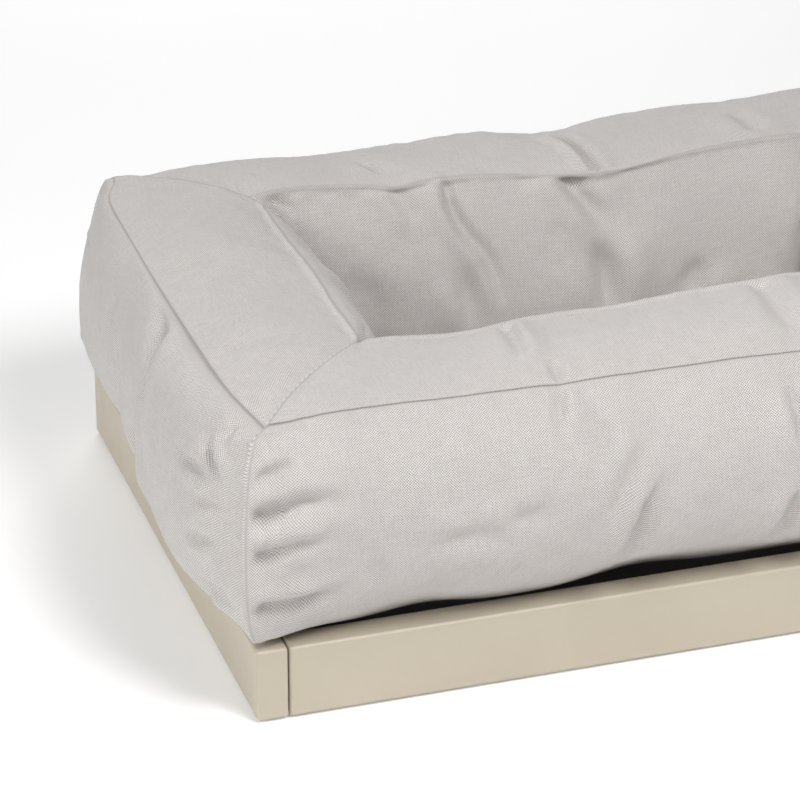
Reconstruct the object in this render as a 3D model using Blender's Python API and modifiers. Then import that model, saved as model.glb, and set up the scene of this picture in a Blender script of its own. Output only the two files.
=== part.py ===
"""Dog bed with a low wooden frame.

Four painted boards stand on felt glides around a base panel that lies on battens. A loose bolster
bed drops into the frame: a zipped cover over four fibre-filled bolsters, a base cloth, and a centre
pad that lifts out of the well. Metres, +Z up, origin on the floor under the middle, front at -Y.
"""

import math

import bmesh
import bpy
from mathutils import Vector

# Driving dimensions of the frame.
FRAME_LENGTH = 0.750
FRAME_DEPTH = 0.515
BOARD_THICKNESS = 0.025
BOARD_HEIGHT = 0.060
EDGE_RADIUS = 0.0025
JOINT_LINE = 0.0010  # open line where a cross board butts against a side board
TOUCH = 0.0003  # play left between pieces that touch

GLIDE_HEIGHT = 0.0020
GLIDE_RADIUS = 0.008
GLIDE_FROM_END = 0.030

BATTEN_SIDE = 0.020
BATTEN_END_CLEARANCE = 0.042  # keeps each batten clear of the corner brackets
PANEL_BOTTOM = 0.030
PANEL_THICKNESS = 0.009
PANEL_PLAY = 0.0015
RAIL_LAP = 0.010  # depth of the half lap where the centre rail crosses a batten

DOWEL_RADIUS = 0.004
DOWEL_LENGTH = 0.040
DOWEL_IN_SIDE_BOARD = 0.0155
DOWEL_HEIGHTS = (0.018, 0.046)
DOWEL_ROUNDING = 0.0008

BRACKET_LEG = 0.038
BRACKET_HEIGHT = 0.018
BRACKET_THICKNESS = 0.002
BRACKET_BOTTOM = 0.007
BRACKET_HOLE_FROM_CORNER = 0.030

SCREW_RADIUS = 0.00175
SCREW_HEAD_RADIUS = 0.0038
SCREW_HEAD_HEIGHT = 0.0024
SCREW_HEAD_FLAT = 0.72  # share of a pan head's radius that is flat on top
SCREW_HEAD_SIDE = 0.60  # share of its height where its side ends
SCREW_RIM = 0.0005  # a countersunk head's straight rim
BRACKET_SCREW_LENGTH = 0.016
BATTEN_SCREW_LENGTH = 0.034
PANEL_SCREW_LENGTH = 0.020
BATTEN_SCREW_ALONG = 0.62  # place along half the batten
PANEL_SCREW_ALONG = 0.90

# Driving dimensions of the bolster bed. Insets count inwards from the frame's outer faces.
SEAM_HEIGHT = 0.250
OUTER_SEAM_INSET = 0.002
INNER_SEAM_INSET = 0.117
TOP_CROWN = 0.008
OUTER_BULGE = 0.044
INNER_BULGE = 0.016
BULGE_FULLNESS = 0.75  # power of the sine: under 1 is fuller
BULGE_SINK = 0.74  # under 1 the outer side is fullest below its middle
LIP_INSET = 0.022  # where the cover leaves the frame's opening
LIP_HEIGHT = 0.070
FOOT_INSET = 0.0275
FOOT_HEIGHT = 0.055
SOLE_INSET = 0.045
SOLE_EASE = (0.70, 0.25)  # shares of the way from the sole to the foot, inwards and up
INNER_FOOT_INSET = 0.128
OUTER_CORNER_RADIUS = 0.045
INNER_CORNER_RADIUS = 0.015
CORNER_PULL = 1.5  # how much the bulge adds to the corner radius
COVER_THICKNESS = 0.0012
FILL_PLAY = 0.0006
MITRE_REACH = 0.060  # how far outside the frame the fills' mitre cuts start

BASE_CLOTH_THICKNESS = 0.0010
BASE_CLOTH_INSET = 0.034

PAD_CLEARANCE = 0.002
PAD_HEIGHT = 0.052
PAD_EDGE_RADIUS = 0.018
PAD_SLIT = (0.300, 0.003)

# Driving dimensions of the zip on the back.
ZIP_FACET = 1  # which flat of the outer side carries it, counted up from the lip
ZIP_LENGTH = 0.500
ZIP_SLIT_WIDTH = 0.006
TAPE_WIDTH = 0.0085
TAPE_THICKNESS = 0.0008
COIL_WIDTH = 0.0024
COIL_HEIGHT = 0.0020
SLIDER_LENGTH = 0.012
SLIDER_HALF_WIDTH = 0.0042
SLIDER_WALL = 0.0012
SLIDER_FROM_END = 0.015
BAIL_RADIUS = 0.00065
BAIL_HALF_LENGTH = 0.0035
BAIL_HEIGHT = 0.0064
PULL_LENGTH = 0.024
PULL_WIDTH = 0.007
PULL_THICKNESS = 0.0013
PULL_EYE_RADIUS = 0.0012
PULL_BARREL_RADIUS = 0.0020
PULL_BARREL_LENGTH = 0.0050
PULL_NECK = 0.3  # share of the pull's length that is no wider than its barrel
BEAD_SHOULDER = (0.8, 0.9)  # where the coil's bead turns over, in shares of its width and height
BEAD_FLAT = 0.4  # share of the bead's width that is flat on top

# Worked out from the above.
HALF_LENGTH = FRAME_LENGTH / 2
HALF_DEPTH = FRAME_DEPTH / 2
BOARD_MIDDLE = GLIDE_HEIGHT + BOARD_HEIGHT / 2
CROSS_BOARD_LENGTH = FRAME_LENGTH - 2 * (BOARD_THICKNESS + JOINT_LINE)
BATTEN_TOP = PANEL_BOTTOM - TOUCH
PANEL_TOP = PANEL_BOTTOM + PANEL_THICKNESS
CLOTH_TOP = PANEL_TOP + TOUCH + BASE_CLOTH_THICKNESS
BED_FLOOR = CLOTH_TOP + TOUCH
INSIDE_X = HALF_LENGTH - BOARD_THICKNESS
INSIDE_Y = HALF_DEPTH - BOARD_THICKNESS
CORNERS = {
    "front_left": (-1, -1),
    "front_right": (1, -1),
    "back_right": (1, 1),
    "back_left": (-1, 1),
}
OVERRUN = 0.002  # how far a cutter passes the face it cuts


# Scene and materials


def clear_scene():
    for obj in list(bpy.data.objects):
        bpy.data.objects.remove(obj, do_unlink=True)


def new_collection(name):
    collection = bpy.data.collections.new(name)
    bpy.context.scene.collection.children.link(collection)
    return collection


def new_material(name, colour, roughness, metallic=0.0):
    material = bpy.data.materials.new(name)
    material.use_nodes = True
    shader = material.node_tree.nodes["Principled BSDF"]
    shader.inputs["Base Color"].default_value = (*colour, 1.0)
    shader.inputs["Roughness"].default_value = roughness
    shader.inputs["Metallic"].default_value = metallic
    return material


clear_scene()
PARTS = new_collection("dog_bed")
CUTTERS = new_collection("cutters")
PAINT = new_material("frame_paint", (0.50, 0.45, 0.36), 0.45)
BEECH = new_material("beech", (0.62, 0.44, 0.26), 0.6)
PINE = new_material("pine", (0.72, 0.55, 0.34), 0.65)
PLYWOOD = new_material("plywood", (0.60, 0.45, 0.28), 0.65)
ZINC = new_material("zinc_plate", (0.62, 0.62, 0.60), 0.35, 1.0)
FELT = new_material("felt", (0.25, 0.23, 0.21), 0.95)
COVER_CLOTH = new_material("cover_twill", (0.60, 0.57, 0.55), 0.9)
SOLE_CLOTH = new_material("sole_cloth", (0.10, 0.10, 0.10), 0.9)
FIBRE = new_material("fibre_fill", (0.85, 0.85, 0.83), 0.95)
FOAM = new_material("foam", (0.82, 0.78, 0.60), 0.95)
ZIP_TAPE = new_material("zip_tape", (0.52, 0.50, 0.48), 0.8)
NICKEL = new_material("nickel", (0.60, 0.59, 0.57), 0.3, 1.0)


# Building blocks


def settle(obj, name, collection, material=None):
    """Names an object, moves it to its collection and gives it its material."""
    obj.name = name
    obj.data.name = name
    for owner in list(obj.users_collection):
        owner.objects.unlink(obj)
    collection.objects.link(obj)
    if material:
        obj.data.materials.append(material)
    if collection == CUTTERS:
        obj.hide_render = True
        obj.display_type = "WIRE"
    return obj


def box(name, size, centre, material=None, radius=0.0, segments=3, collection=None):
    bpy.ops.mesh.primitive_cube_add(size=1, location=centre)
    obj = settle(bpy.context.object, name, collection or PARTS, material)
    obj.scale = size
    bpy.ops.object.transform_apply(location=False, rotation=False, scale=True)
    if radius:
        round_edges(obj, radius, segments)
    return obj


def round_edges(obj, radius, segments):
    bevel = obj.modifiers.new("Rounded edges", "BEVEL")
    bevel.width = radius
    bevel.segments = segments
    bevel.limit_method = "ANGLE"
    obj.data.shade_smooth()
    obj.data.set_sharp_from_angle(angle=math.radians(50))


def cylinder(name, radius, length, centre, material=None, sides=16, collection=None):
    bpy.ops.mesh.primitive_cylinder_add(
        vertices=sides, radius=radius, depth=length, location=centre
    )
    return settle(bpy.context.object, name, collection or PARTS, material)


def point_along(obj, direction):
    """Turns an object so that its own -Z points along direction."""
    obj.rotation_mode = "QUATERNION"
    obj.rotation_quaternion = Vector(direction).to_track_quat("-Z", "Y")


def boolean(obj, other, operation="DIFFERENCE"):
    modifier = obj.modifiers.new(operation.title(), "BOOLEAN")
    modifier.operation = operation
    modifier.object = other


def mesh_from_curve(obj, collection, material=None):
    """Replaces a curve object by a closed mesh object of the same name and place."""
    bpy.context.view_layer.update()
    graph = bpy.context.evaluated_depsgraph_get()
    mesh = bpy.data.meshes.new_from_object(obj.evaluated_get(graph))
    shape = bmesh.new()
    shape.from_mesh(mesh)
    bmesh.ops.remove_doubles(shape, verts=shape.verts, dist=1e-6)
    bmesh.ops.recalc_face_normals(shape, faces=shape.faces)
    shape.to_mesh(mesh)
    shape.free()
    name = obj.name
    matrix = obj.matrix_world.copy()
    bpy.data.objects.remove(obj, do_unlink=True)
    solid = bpy.data.objects.new(name, mesh)
    bpy.context.scene.collection.objects.link(solid)
    solid.matrix_world = matrix
    return settle(solid, name, collection, material)


def prism(name, outline, height, collection=None, material=None):
    """A flat outline in its own XY plane, drawn out by height about that plane."""
    curve = bpy.data.curves.new(name, "CURVE")
    curve.dimensions = "2D"
    curve.fill_mode = "BOTH"
    curve.extrude = height / 2
    spline = curve.splines.new("POLY")
    spline.points.add(len(outline) - 1)
    for point, (x, y) in zip(spline.points, outline):
        point.co = (x, y, 0, 1)
    spline.use_cyclic_u = True
    obj = bpy.data.objects.new(name, curve)
    bpy.context.scene.collection.objects.link(obj)
    return mesh_from_curve(obj, collection or PARTS, material)


def turned(name, profile, steps, material=None, collection=None):
    """A solid of revolution about Z. The profile runs from the top of the axis to its bottom."""
    mesh = bpy.data.meshes.new(name)
    edges = [(i, i + 1) for i in range(len(profile) - 1)]
    mesh.from_pydata([(r, 0, z) for r, z in profile], edges, [])
    obj = bpy.data.objects.new(name, mesh)
    bpy.context.scene.collection.objects.link(obj)
    settle(obj, name, collection or PARTS, material)
    screw = obj.modifiers.new("Turn", "SCREW")
    screw.steps = steps
    screw.render_steps = steps
    screw.use_merge_vertices = True
    screw.merge_threshold = 1e-5
    return obj


def arc(centre, radius, start, end, steps):
    """Points on an arc, from the start angle to the end angle in degrees."""
    angles = [math.radians(start + (end - start) * i / steps) for i in range(steps + 1)]
    return [
        (centre[0] + radius * math.cos(a), centre[1] + radius * math.sin(a))
        for a in angles
    ]


def blend(a, b, share):
    return a + (b - a) * share


# Frame


def side_board(name, side):
    x = side * (HALF_LENGTH - BOARD_THICKNESS / 2)
    size = (BOARD_THICKNESS, FRAME_DEPTH, BOARD_HEIGHT)
    return box(name, size, (x, 0, BOARD_MIDDLE), PAINT, EDGE_RADIUS)


def cross_board(name, side):
    y = side * (HALF_DEPTH - BOARD_THICKNESS / 2)
    size = (CROSS_BOARD_LENGTH, BOARD_THICKNESS, BOARD_HEIGHT)
    return box(name, size, (0, y, BOARD_MIDDLE), PAINT, EDGE_RADIUS)


def dowels(corner, sx, sy, side, cross):
    """Two dowels across the joint line, each in a blind hole in both boards."""
    y = sy * (HALF_DEPTH - BOARD_THICKNESS / 2)
    x = sx * (INSIDE_X + DOWEL_IN_SIDE_BOARD - DOWEL_LENGTH / 2)
    for height, place in zip(DOWEL_HEIGHTS, ("lower", "upper")):
        centre = (x, y, height)
        name = f"dowel_{corner}_{place}"
        dowel = cylinder(name, DOWEL_RADIUS, DOWEL_LENGTH, centre, BEECH, 12)
        point_along(dowel, (sx, 0, 0))
        round_edges(dowel, DOWEL_ROUNDING, 1)
        hole = cylinder(
            f"{name}_hole",
            DOWEL_RADIUS + TOUCH,
            DOWEL_LENGTH + 2 * TOUCH,
            centre,
            None,
            12,
            CUTTERS,
        )
        point_along(hole, (sx, 0, 0))
        boolean(side, hole)
        boolean(cross, hole)


def screw_profile(length, countersunk, play=0.0):
    """From the middle of the head down to the tip. With play it is the hole for that screw."""
    shank = SCREW_RADIUS + play
    head = SCREW_HEAD_RADIUS + play
    top = OVERRUN if play else 0.0
    tip = -length - play
    if countersunk:
        rim = -SCREW_RIM - play
        sides = [(head, top), (head, rim), (shank, -SCREW_HEAD_HEIGHT - play)]
    elif play:
        sides = [(shank, top)]
    else:
        top = SCREW_HEAD_HEIGHT
        sides = [
            (head * SCREW_HEAD_FLAT, top),
            (head, top * SCREW_HEAD_SIDE),
            (head, TOUCH),
            (shank, TOUCH),
        ]
    return [(0, top), *sides, (shank, tip + 2 * shank), (0, tip)]


def screw(name, head_at, direction, length, countersunk, *through):
    """A screw whose head seats at head_at and points along direction, and its hole in each piece."""
    piece = turned(name, screw_profile(length, countersunk), 12, ZINC)
    hole = turned(
        f"{name}_hole",
        screw_profile(length, countersunk, TOUCH),
        12,
        None,
        CUTTERS,
    )
    for obj in (piece, hole):
        obj.location = head_at
        point_along(obj, direction)
    piece.data.shade_smooth()
    for drilled in through:
        boolean(drilled, hole)


def corner_bracket(corner, sx, sy, quarter_turns, side, cross):
    """A steel angle low in the corner, one pan-head screw through each leg."""
    leg, wall = BRACKET_LEG, BRACKET_THICKNESS
    bend = 2 * wall
    outline = [
        *arc((bend, bend), bend, 180, 270, 4),
        (leg, 0),
        (leg, wall),
        *arc((bend, bend), bend - wall, 270, 180, 4),
        (wall, leg),
        (0, leg),
    ]
    name = f"corner_bracket_{corner}"
    bracket = prism(name, outline, BRACKET_HEIGHT, None, ZINC)
    height = BRACKET_BOTTOM + BRACKET_HEIGHT / 2
    x = sx * (INSIDE_X - TOUCH)
    y = sy * (INSIDE_Y - TOUCH)
    bracket.location = (x, y, height)
    bracket.rotation_euler = (0, 0, quarter_turns * math.pi / 2)
    along, face = BRACKET_HOLE_FROM_CORNER, BRACKET_THICKNESS
    to_side = (x - sx * face, y - sy * along, height)
    to_cross = (x - sx * along, y - sy * face, height)
    length = BRACKET_SCREW_LENGTH
    screw(f"{name}_side_screw", to_side, (sx, 0, 0), length, False, bracket, side)
    screw(f"{name}_cross_screw", to_cross, (0, sy, 0), length, False, bracket, cross)


def batten(name, direction, length, board):
    """A cleat on the inner face of a board, held by two countersunk screws."""
    dx, dy = direction
    reach_x = INSIDE_X - TOUCH - BATTEN_SIDE / 2
    reach_y = INSIDE_Y - TOUCH - BATTEN_SIDE / 2
    height = BATTEN_TOP - BATTEN_SIDE / 2
    centre = Vector((dx * reach_x, dy * reach_y, height))
    size = (BATTEN_SIDE, length, BATTEN_SIDE) if dx else (length, BATTEN_SIDE, BATTEN_SIDE)
    piece = box(name, size, centre, PINE)
    inwards = Vector((-dx, -dy, 0)) * BATTEN_SIDE / 2
    along = Vector((abs(dy), abs(dx), 0)) * length / 2 * BATTEN_SCREW_ALONG
    for sign, place in ((-1, "a"), (1, "b")):
        head_at = centre + inwards + sign * along
        screw(
            f"{name}_screw_{place}",
            head_at,
            (dx, dy, 0),
            BATTEN_SCREW_LENGTH,
            True,
            piece,
            board,
        )
    return piece


def centre_rail(front_batten, back_batten):
    """Crosses under the panel from batten to batten, half lapped over each."""
    reach = INSIDE_Y - 2 * TOUCH
    between = INSIDE_Y - 2 * TOUCH - BATTEN_SIDE - TOUCH
    height = BATTEN_TOP - BATTEN_SIDE / 2
    rail = box("centre_rail", (BATTEN_SIDE, 2 * reach, BATTEN_SIDE), (0, 0, height), PINE)
    lap_floor = BATTEN_TOP - RAIL_LAP
    for side, crossed in ((-1, front_batten), (1, back_batten)):
        below = box(
            f"{crossed.name}_lap_below",
            (BATTEN_SIDE + 2 * OVERRUN, BATTEN_SIDE + OVERRUN, RAIL_LAP + OVERRUN),
            (
                0,
                side * (between + (BATTEN_SIDE + OVERRUN) / 2),
                lap_floor - (RAIL_LAP + OVERRUN) / 2,
            ),
            collection=CUTTERS,
        )
        boolean(rail, below)
        notch = box(
            f"{crossed.name}_notch",
            (BATTEN_SIDE + 2 * TOUCH, BATTEN_SIDE + 4 * OVERRUN, RAIL_LAP + OVERRUN),
            (
                0,
                crossed.location.y,
                lap_floor - TOUCH + (RAIL_LAP + OVERRUN) / 2,
            ),
            collection=CUTTERS,
        )
        boolean(crossed, notch)


def base_panel(front_batten, back_batten):
    size = (
        2 * (INSIDE_X - PANEL_PLAY),
        2 * (INSIDE_Y - PANEL_PLAY),
        PANEL_THICKNESS,
    )
    middle = PANEL_BOTTOM + PANEL_THICKNESS / 2
    panel = box("base_panel", size, (0, 0, middle), PLYWOOD)
    reach = front_batten.dimensions.x / 2 * PANEL_SCREW_ALONG
    for crossed, row in ((front_batten, "front"), (back_batten, "back")):
        for side, place in ((-1, "left"), (1, "right")):
            head_at = (side * reach, crossed.location.y, PANEL_TOP)
            name = f"panel_screw_{row}_{place}"
            screw(name, head_at, (0, 0, -1), PANEL_SCREW_LENGTH, True, panel, crossed)


def glide(corner, sx, sy):
    """A round felt glide stuck under the end of a side board."""
    x = sx * (HALF_LENGTH - BOARD_THICKNESS / 2)
    y = sy * (HALF_DEPTH - GLIDE_FROM_END)
    height = GLIDE_HEIGHT - TOUCH
    cylinder(f"glide_{corner}", GLIDE_RADIUS, height, (x, y, height / 2), FELT, 24)


def frame():
    sides = {-1: side_board("left_board", -1), 1: side_board("right_board", 1)}
    crosses = {-1: cross_board("front_board", -1), 1: cross_board("back_board", 1)}
    for turns, (corner, (sx, sy)) in enumerate(CORNERS.items()):
        dowels(corner, sx, sy, sides[sx], crosses[sy])
        corner_bracket(corner, sx, sy, turns, sides[sx], crosses[sy])
        glide(corner, sx, sy)
    along_x = 2 * (INSIDE_X - BATTEN_END_CLEARANCE)
    along_y = 2 * (INSIDE_Y - BATTEN_END_CLEARANCE)
    front = batten("front_batten", (0, -1), along_x, crosses[-1])
    back = batten("back_batten", (0, 1), along_x, crosses[1])
    batten("left_batten", (-1, 0), along_y, sides[-1])
    batten("right_batten", (1, 0), along_y, sides[1])
    centre_rail(front, back)
    base_panel(front, back)


# Bolster bed


def bolster_outline():
    """The bolster's section as (inset, height), once round: up the outer side, over, and down."""
    outer_steps, top_steps, inner_steps = 9, 6, 8
    points = []
    for i in range(outer_steps):
        t = i / outer_steps
        bulge = OUTER_BULGE * math.sin(math.pi * t**BULGE_SINK) ** BULGE_FULLNESS
        height = blend(LIP_HEIGHT, SEAM_HEIGHT, t)
        points.append((blend(LIP_INSET, OUTER_SEAM_INSET, t) - bulge, height))
    for i in range(top_steps):
        t = i / top_steps
        crown = TOP_CROWN * math.sin(math.pi * t) ** BULGE_FULLNESS
        inset = blend(OUTER_SEAM_INSET, INNER_SEAM_INSET, t)
        points.append((inset, SEAM_HEIGHT + crown))
    for i in range(inner_steps):
        t = i / inner_steps
        bulge = INNER_BULGE * math.sin(math.pi * t) ** BULGE_FULLNESS
        height = blend(SEAM_HEIGHT, FOOT_HEIGHT, t)
        points.append((blend(INNER_SEAM_INSET, INNER_FOOT_INSET, t) + bulge, height))
    inner_radius = FOOT_HEIGHT - BED_FLOOR
    inner_centre = (INNER_FOOT_INSET - inner_radius, FOOT_HEIGHT)
    points += arc(inner_centre, inner_radius, 0, -90, 3)
    points.append((SOLE_INSET, BED_FLOOR))
    ease_in, ease_up = SOLE_EASE
    points.append((blend(SOLE_INSET, FOOT_INSET, ease_in), blend(BED_FLOOR, FOOT_HEIGHT, ease_up)))
    points.append((FOOT_INSET, FOOT_HEIGHT))
    return points


def moved_inwards(outline, distance):
    """The outline set back by distance along its own normals."""
    moved = []
    for i, here in enumerate(outline):
        before, after = outline[i - 1], outline[(i + 1) % len(outline)]
        into = Vector((here[0] - before[0], here[1] - before[1])).normalized()
        out_of = Vector((after[0] - here[0], after[1] - here[1])).normalized()
        middle = (into + out_of).normalized()
        normal = Vector((middle.y, -middle.x))
        stretch = 1 / max(0.5, middle.dot(into))
        moved.append(tuple(Vector(here) + normal * distance * stretch))
    return moved


def corner_radius(inset):
    """The corners are tight round the well and pulled round where the outer side is fullest."""
    if inset < 0:
        return OUTER_CORNER_RADIUS - CORNER_PULL * inset
    share = min(1, inset / INNER_SEAM_INSET)
    return blend(OUTER_CORNER_RADIUS, INNER_CORNER_RADIUS, share)


def rounded_rectangle(half_x, half_y, radius, corner_steps=6):
    points = []
    for quarter, (sx, sy) in enumerate(((1, 1), (-1, 1), (-1, -1), (1, -1))):
        centre = (sx * (half_x - radius), sy * (half_y - radius))
        points += arc(centre, radius, 90 * quarter, 90 * quarter + 90, corner_steps)
    return points


def bolster_ring(name, set_back, collection=None, material=None):
    """A closed ring: each point of the section runs once round the bed as a rounded rectangle."""
    outline = moved_inwards(bolster_outline(), set_back)
    shape = bmesh.new()
    loops = []
    for inset, height in outline:
        half_x, half_y = HALF_LENGTH - inset, HALF_DEPTH - inset
        loop = rounded_rectangle(half_x, half_y, corner_radius(inset))
        loops.append([shape.verts.new((x, y, height)) for x, y in loop])
    for i, loop in enumerate(loops):
        after = loops[(i + 1) % len(loops)]
        for j in range(len(loop)):
            k = (j + 1) % len(loop)
            shape.faces.new((loop[j], loop[k], after[k], after[j]))
    bmesh.ops.recalc_face_normals(shape, faces=shape.faces)
    mesh = bpy.data.meshes.new(name)
    shape.to_mesh(mesh)
    shape.free()
    mesh.shade_smooth()
    obj = bpy.data.objects.new(name, mesh)
    bpy.context.scene.collection.objects.link(obj)
    return settle(obj, name, collection or PARTS, material)


def zip_line():
    """An empty at the middle of the zip's flat: X along the zip, Y up the flat, Z out of it."""
    outline = bolster_outline()
    low, high = Vector(outline[ZIP_FACET]), Vector(outline[ZIP_FACET + 1])
    middle = (low + high) / 2
    rise = math.atan2(high.y - low.y, low.x - high.x)
    empty = bpy.data.objects.new("zip_line", None)
    PARTS.objects.link(empty)
    empty.location = (0, HALF_DEPTH - middle.x, middle.y)
    empty.rotation_euler = (math.pi - rise, 0, math.pi)
    bpy.context.view_layer.update()
    return empty


def bolster_cover(line):
    """The sewn cover: a thin shell round the ring, open along the slit behind the zip."""
    cover = bolster_ring("bolster_cover", 0, None, COVER_CLOTH)
    boolean(cover, bolster_ring("cover_inside", COVER_THICKNESS, CUTTERS))
    slit_size = (ZIP_LENGTH - 2 * SLIDER_FROM_END, ZIP_SLIT_WIDTH, 6 * COVER_THICKNESS)
    slit = box("zip_slit", slit_size, (0, 0, 0), collection=CUTTERS)
    slit.parent = line
    boolean(cover, slit)


def bolster_fills():
    """Four fibre bolsters inside the cover, mitred against each other at the corners."""
    reach_x, reach_y = HALF_LENGTH + MITRE_REACH, HALF_DEPTH + MITRE_REACH
    ridge = HALF_LENGTH - HALF_DEPTH
    for side, name in ((-1, "front"), (1, "back")):
        wedge = [
            (-reach_x + TOUCH, side * reach_y),
            (reach_x - TOUCH, side * reach_y),
            (ridge - TOUCH, 0),
            (-ridge + TOUCH, 0),
        ]
        fill(f"{name}_bolster_fill", wedge)
    for side, name in ((-1, "left"), (1, "right")):
        wedge = [
            (side * reach_x, -reach_y + TOUCH),
            (side * (ridge + TOUCH), 0),
            (side * reach_x, reach_y - TOUCH),
        ]
        fill(f"{name}_bolster_fill", wedge)


def fill(name, wedge):
    piece = bolster_ring(name, COVER_THICKNESS + FILL_PLAY, None, FIBRE)
    share = prism(f"{name}_share", wedge, 1.0, CUTTERS)
    boolean(piece, share, "INTERSECT")


def base_cloth():
    size = (
        2 * (HALF_LENGTH - BASE_CLOTH_INSET),
        2 * (HALF_DEPTH - BASE_CLOTH_INSET),
        BASE_CLOTH_THICKNESS,
    )
    box("base_cloth", size, (0, 0, CLOTH_TOP - BASE_CLOTH_THICKNESS / 2), SOLE_CLOTH)


def centre_pad():
    """A foam pad in its own cover, free to lift out past the bolsters' inner bulge."""
    widest = max(inset for inset, _ in bolster_outline()) + PAD_CLEARANCE
    outer = Vector((2 * (HALF_LENGTH - widest), 2 * (HALF_DEPTH - widest), PAD_HEIGHT))
    centre = (0, 0, BED_FLOOR + PAD_HEIGHT / 2)

    def layer(name, depth, material, collection=None):
        size = outer - Vector((2 * depth,) * 3)
        radius = PAD_EDGE_RADIUS - depth
        return box(name, size, centre, material, radius, 4, collection)

    cover = layer("pad_cover", 0, COVER_CLOTH)
    boolean(cover, layer("pad_cover_inside", COVER_THICKNESS, None, CUTTERS))
    slit_length, slit_width = PAD_SLIT
    slit = box(
        "pad_slit",
        (slit_length, 6 * COVER_THICKNESS, slit_width),
        (0, outer.y / 2, centre[2]),
        collection=CUTTERS,
    )
    boolean(cover, slit)
    layer("pad_foam", COVER_THICKNESS + FILL_PLAY, FOAM)


# Zip


def tape(name, line, side):
    """One tape of the zip with its half of the coil as a bead along the inner edge."""
    foot, back = TOUCH, TOUCH + TAPE_THICKNESS
    bead_top = back + COIL_HEIGHT / 2
    inner, outer = TOUCH / 2, TAPE_WIDTH
    outline = [
        (inner, foot),
        (outer, foot),
        (outer, back),
        (inner + COIL_WIDTH, back),
        (inner + COIL_WIDTH * BEAD_SHOULDER[0], bead_top * BEAD_SHOULDER[1]),
        (inner + COIL_WIDTH * BEAD_FLAT, bead_top),
        (inner, bead_top),
    ]
    if side < 0:
        outline = [(-x, y) for x, y in reversed(outline)]
    piece = prism(name, outline, ZIP_LENGTH, None, ZIP_TAPE)
    lay_along(piece, line)


def lay_along(obj, line, x=0.0):
    """Turns a section drawn in its own XY plane to face along the zip line, at x on it."""
    obj.parent = line
    obj.location = (x, 0, 0)
    obj.rotation_euler = (math.pi / 2, 0, math.pi / 2)


def zip_slider(line, x):
    """A bridge over the coil, with a wire bail for the pull."""
    low = TAPE_THICKNESS + 2 * TOUCH
    coil_top = TOUCH + TAPE_THICKNESS + COIL_HEIGHT / 2
    roof, top = coil_top + TOUCH, coil_top + TOUCH + SLIDER_WALL
    wide, narrow = SLIDER_HALF_WIDTH, SLIDER_HALF_WIDTH - SLIDER_WALL
    outline = [
        (-wide, low),
        (-narrow, low),
        (-narrow, roof),
        (narrow, roof),
        (narrow, low),
        (wide, low),
        (wide, top),
        (-wide, top),
    ]
    slider = prism("zip_slider", outline, SLIDER_LENGTH, None, NICKEL)
    lay_along(slider, line, x)

    curve = bpy.data.curves.new("zip_bail", "CURVE")
    curve.dimensions = "3D"
    curve.bevel_depth = BAIL_RADIUS
    curve.bevel_resolution = 2
    curve.use_fill_caps = True
    spline = curve.splines.new("POLY")
    shoulder = 2 * BAIL_RADIUS
    sunk = roof + SLIDER_WALL / 2
    right = [
        (BAIL_HALF_LENGTH, sunk),
        *arc(
            (BAIL_HALF_LENGTH - shoulder, BAIL_HEIGHT - shoulder), shoulder, 0, 90, 3
        ),
    ]
    route = right + [(-a, b) for a, b in reversed(right)]
    spline.points.add(len(route) - 1)
    for point, (along, out) in zip(spline.points, route):
        point.co = (along, 0, out, 1)
    bail = bpy.data.objects.new("zip_bail", curve)
    bpy.context.scene.collection.objects.link(bail)
    bail = mesh_from_curve(bail, CUTTERS)
    bail.parent = line
    bail.location = (x, 0, 0)
    boolean(slider, bail, "UNION")


def zip_pull(line, x):
    """Hangs straight down from the bail and turns on its bar, which lies along X."""
    bar = line.matrix_world @ Vector((x, 0, BAIL_HEIGHT))
    hinge = bpy.data.objects.new("zip_pull_hinge", None)
    PARTS.objects.link(hinge)
    hinge.location = bar
    half = PULL_BARREL_LENGTH / 2
    neck_top = -0.8 * PULL_BARREL_RADIUS  # inside the barrel that is joined to it
    outline = [
        *arc((0, -PULL_LENGTH + PULL_WIDTH / 2), PULL_WIDTH / 2, 0, -180, 8),
        (-half, -PULL_LENGTH * PULL_NECK),
        (-half, neck_top),
        (half, neck_top),
        (half, -PULL_LENGTH * PULL_NECK),
    ]
    pull = prism("zip_pull", outline, PULL_THICKNESS, None, NICKEL)
    barrel = cylinder(
        "pull_barrel", PULL_BARREL_RADIUS, PULL_BARREL_LENGTH, (0, 0, 0), None, 16, CUTTERS
    )
    eye = cylinder(
        "pull_eye", PULL_EYE_RADIUS, 2 * PULL_BARREL_LENGTH, (0, 0, 0), None, 16, CUTTERS
    )
    pull.parent = hinge
    pull.rotation_euler = (math.pi / 2, 0, 0)
    for part in (barrel, eye):
        part.parent = hinge
        part.rotation_euler = (0, math.pi / 2, 0)
    boolean(pull, barrel, "UNION")
    boolean(pull, eye)


def bolster_bed():
    line = zip_line()
    bolster_cover(line)
    bolster_fills()
    base_cloth()
    centre_pad()
    tape("zip_tape_upper", line, 1)
    tape("zip_tape_lower", line, -1)
    closed_end = ZIP_LENGTH / 2 - SLIDER_FROM_END
    zip_slider(line, closed_end)
    zip_pull(line, closed_end)


frame()
bolster_bed()
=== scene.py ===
"""Looks of the dog bed: a sewn canvas bolster ring, inflated as cloth, in a low painted frame."""

import math
import random

import bpy
import numpy as np
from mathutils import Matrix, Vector, noise


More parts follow.
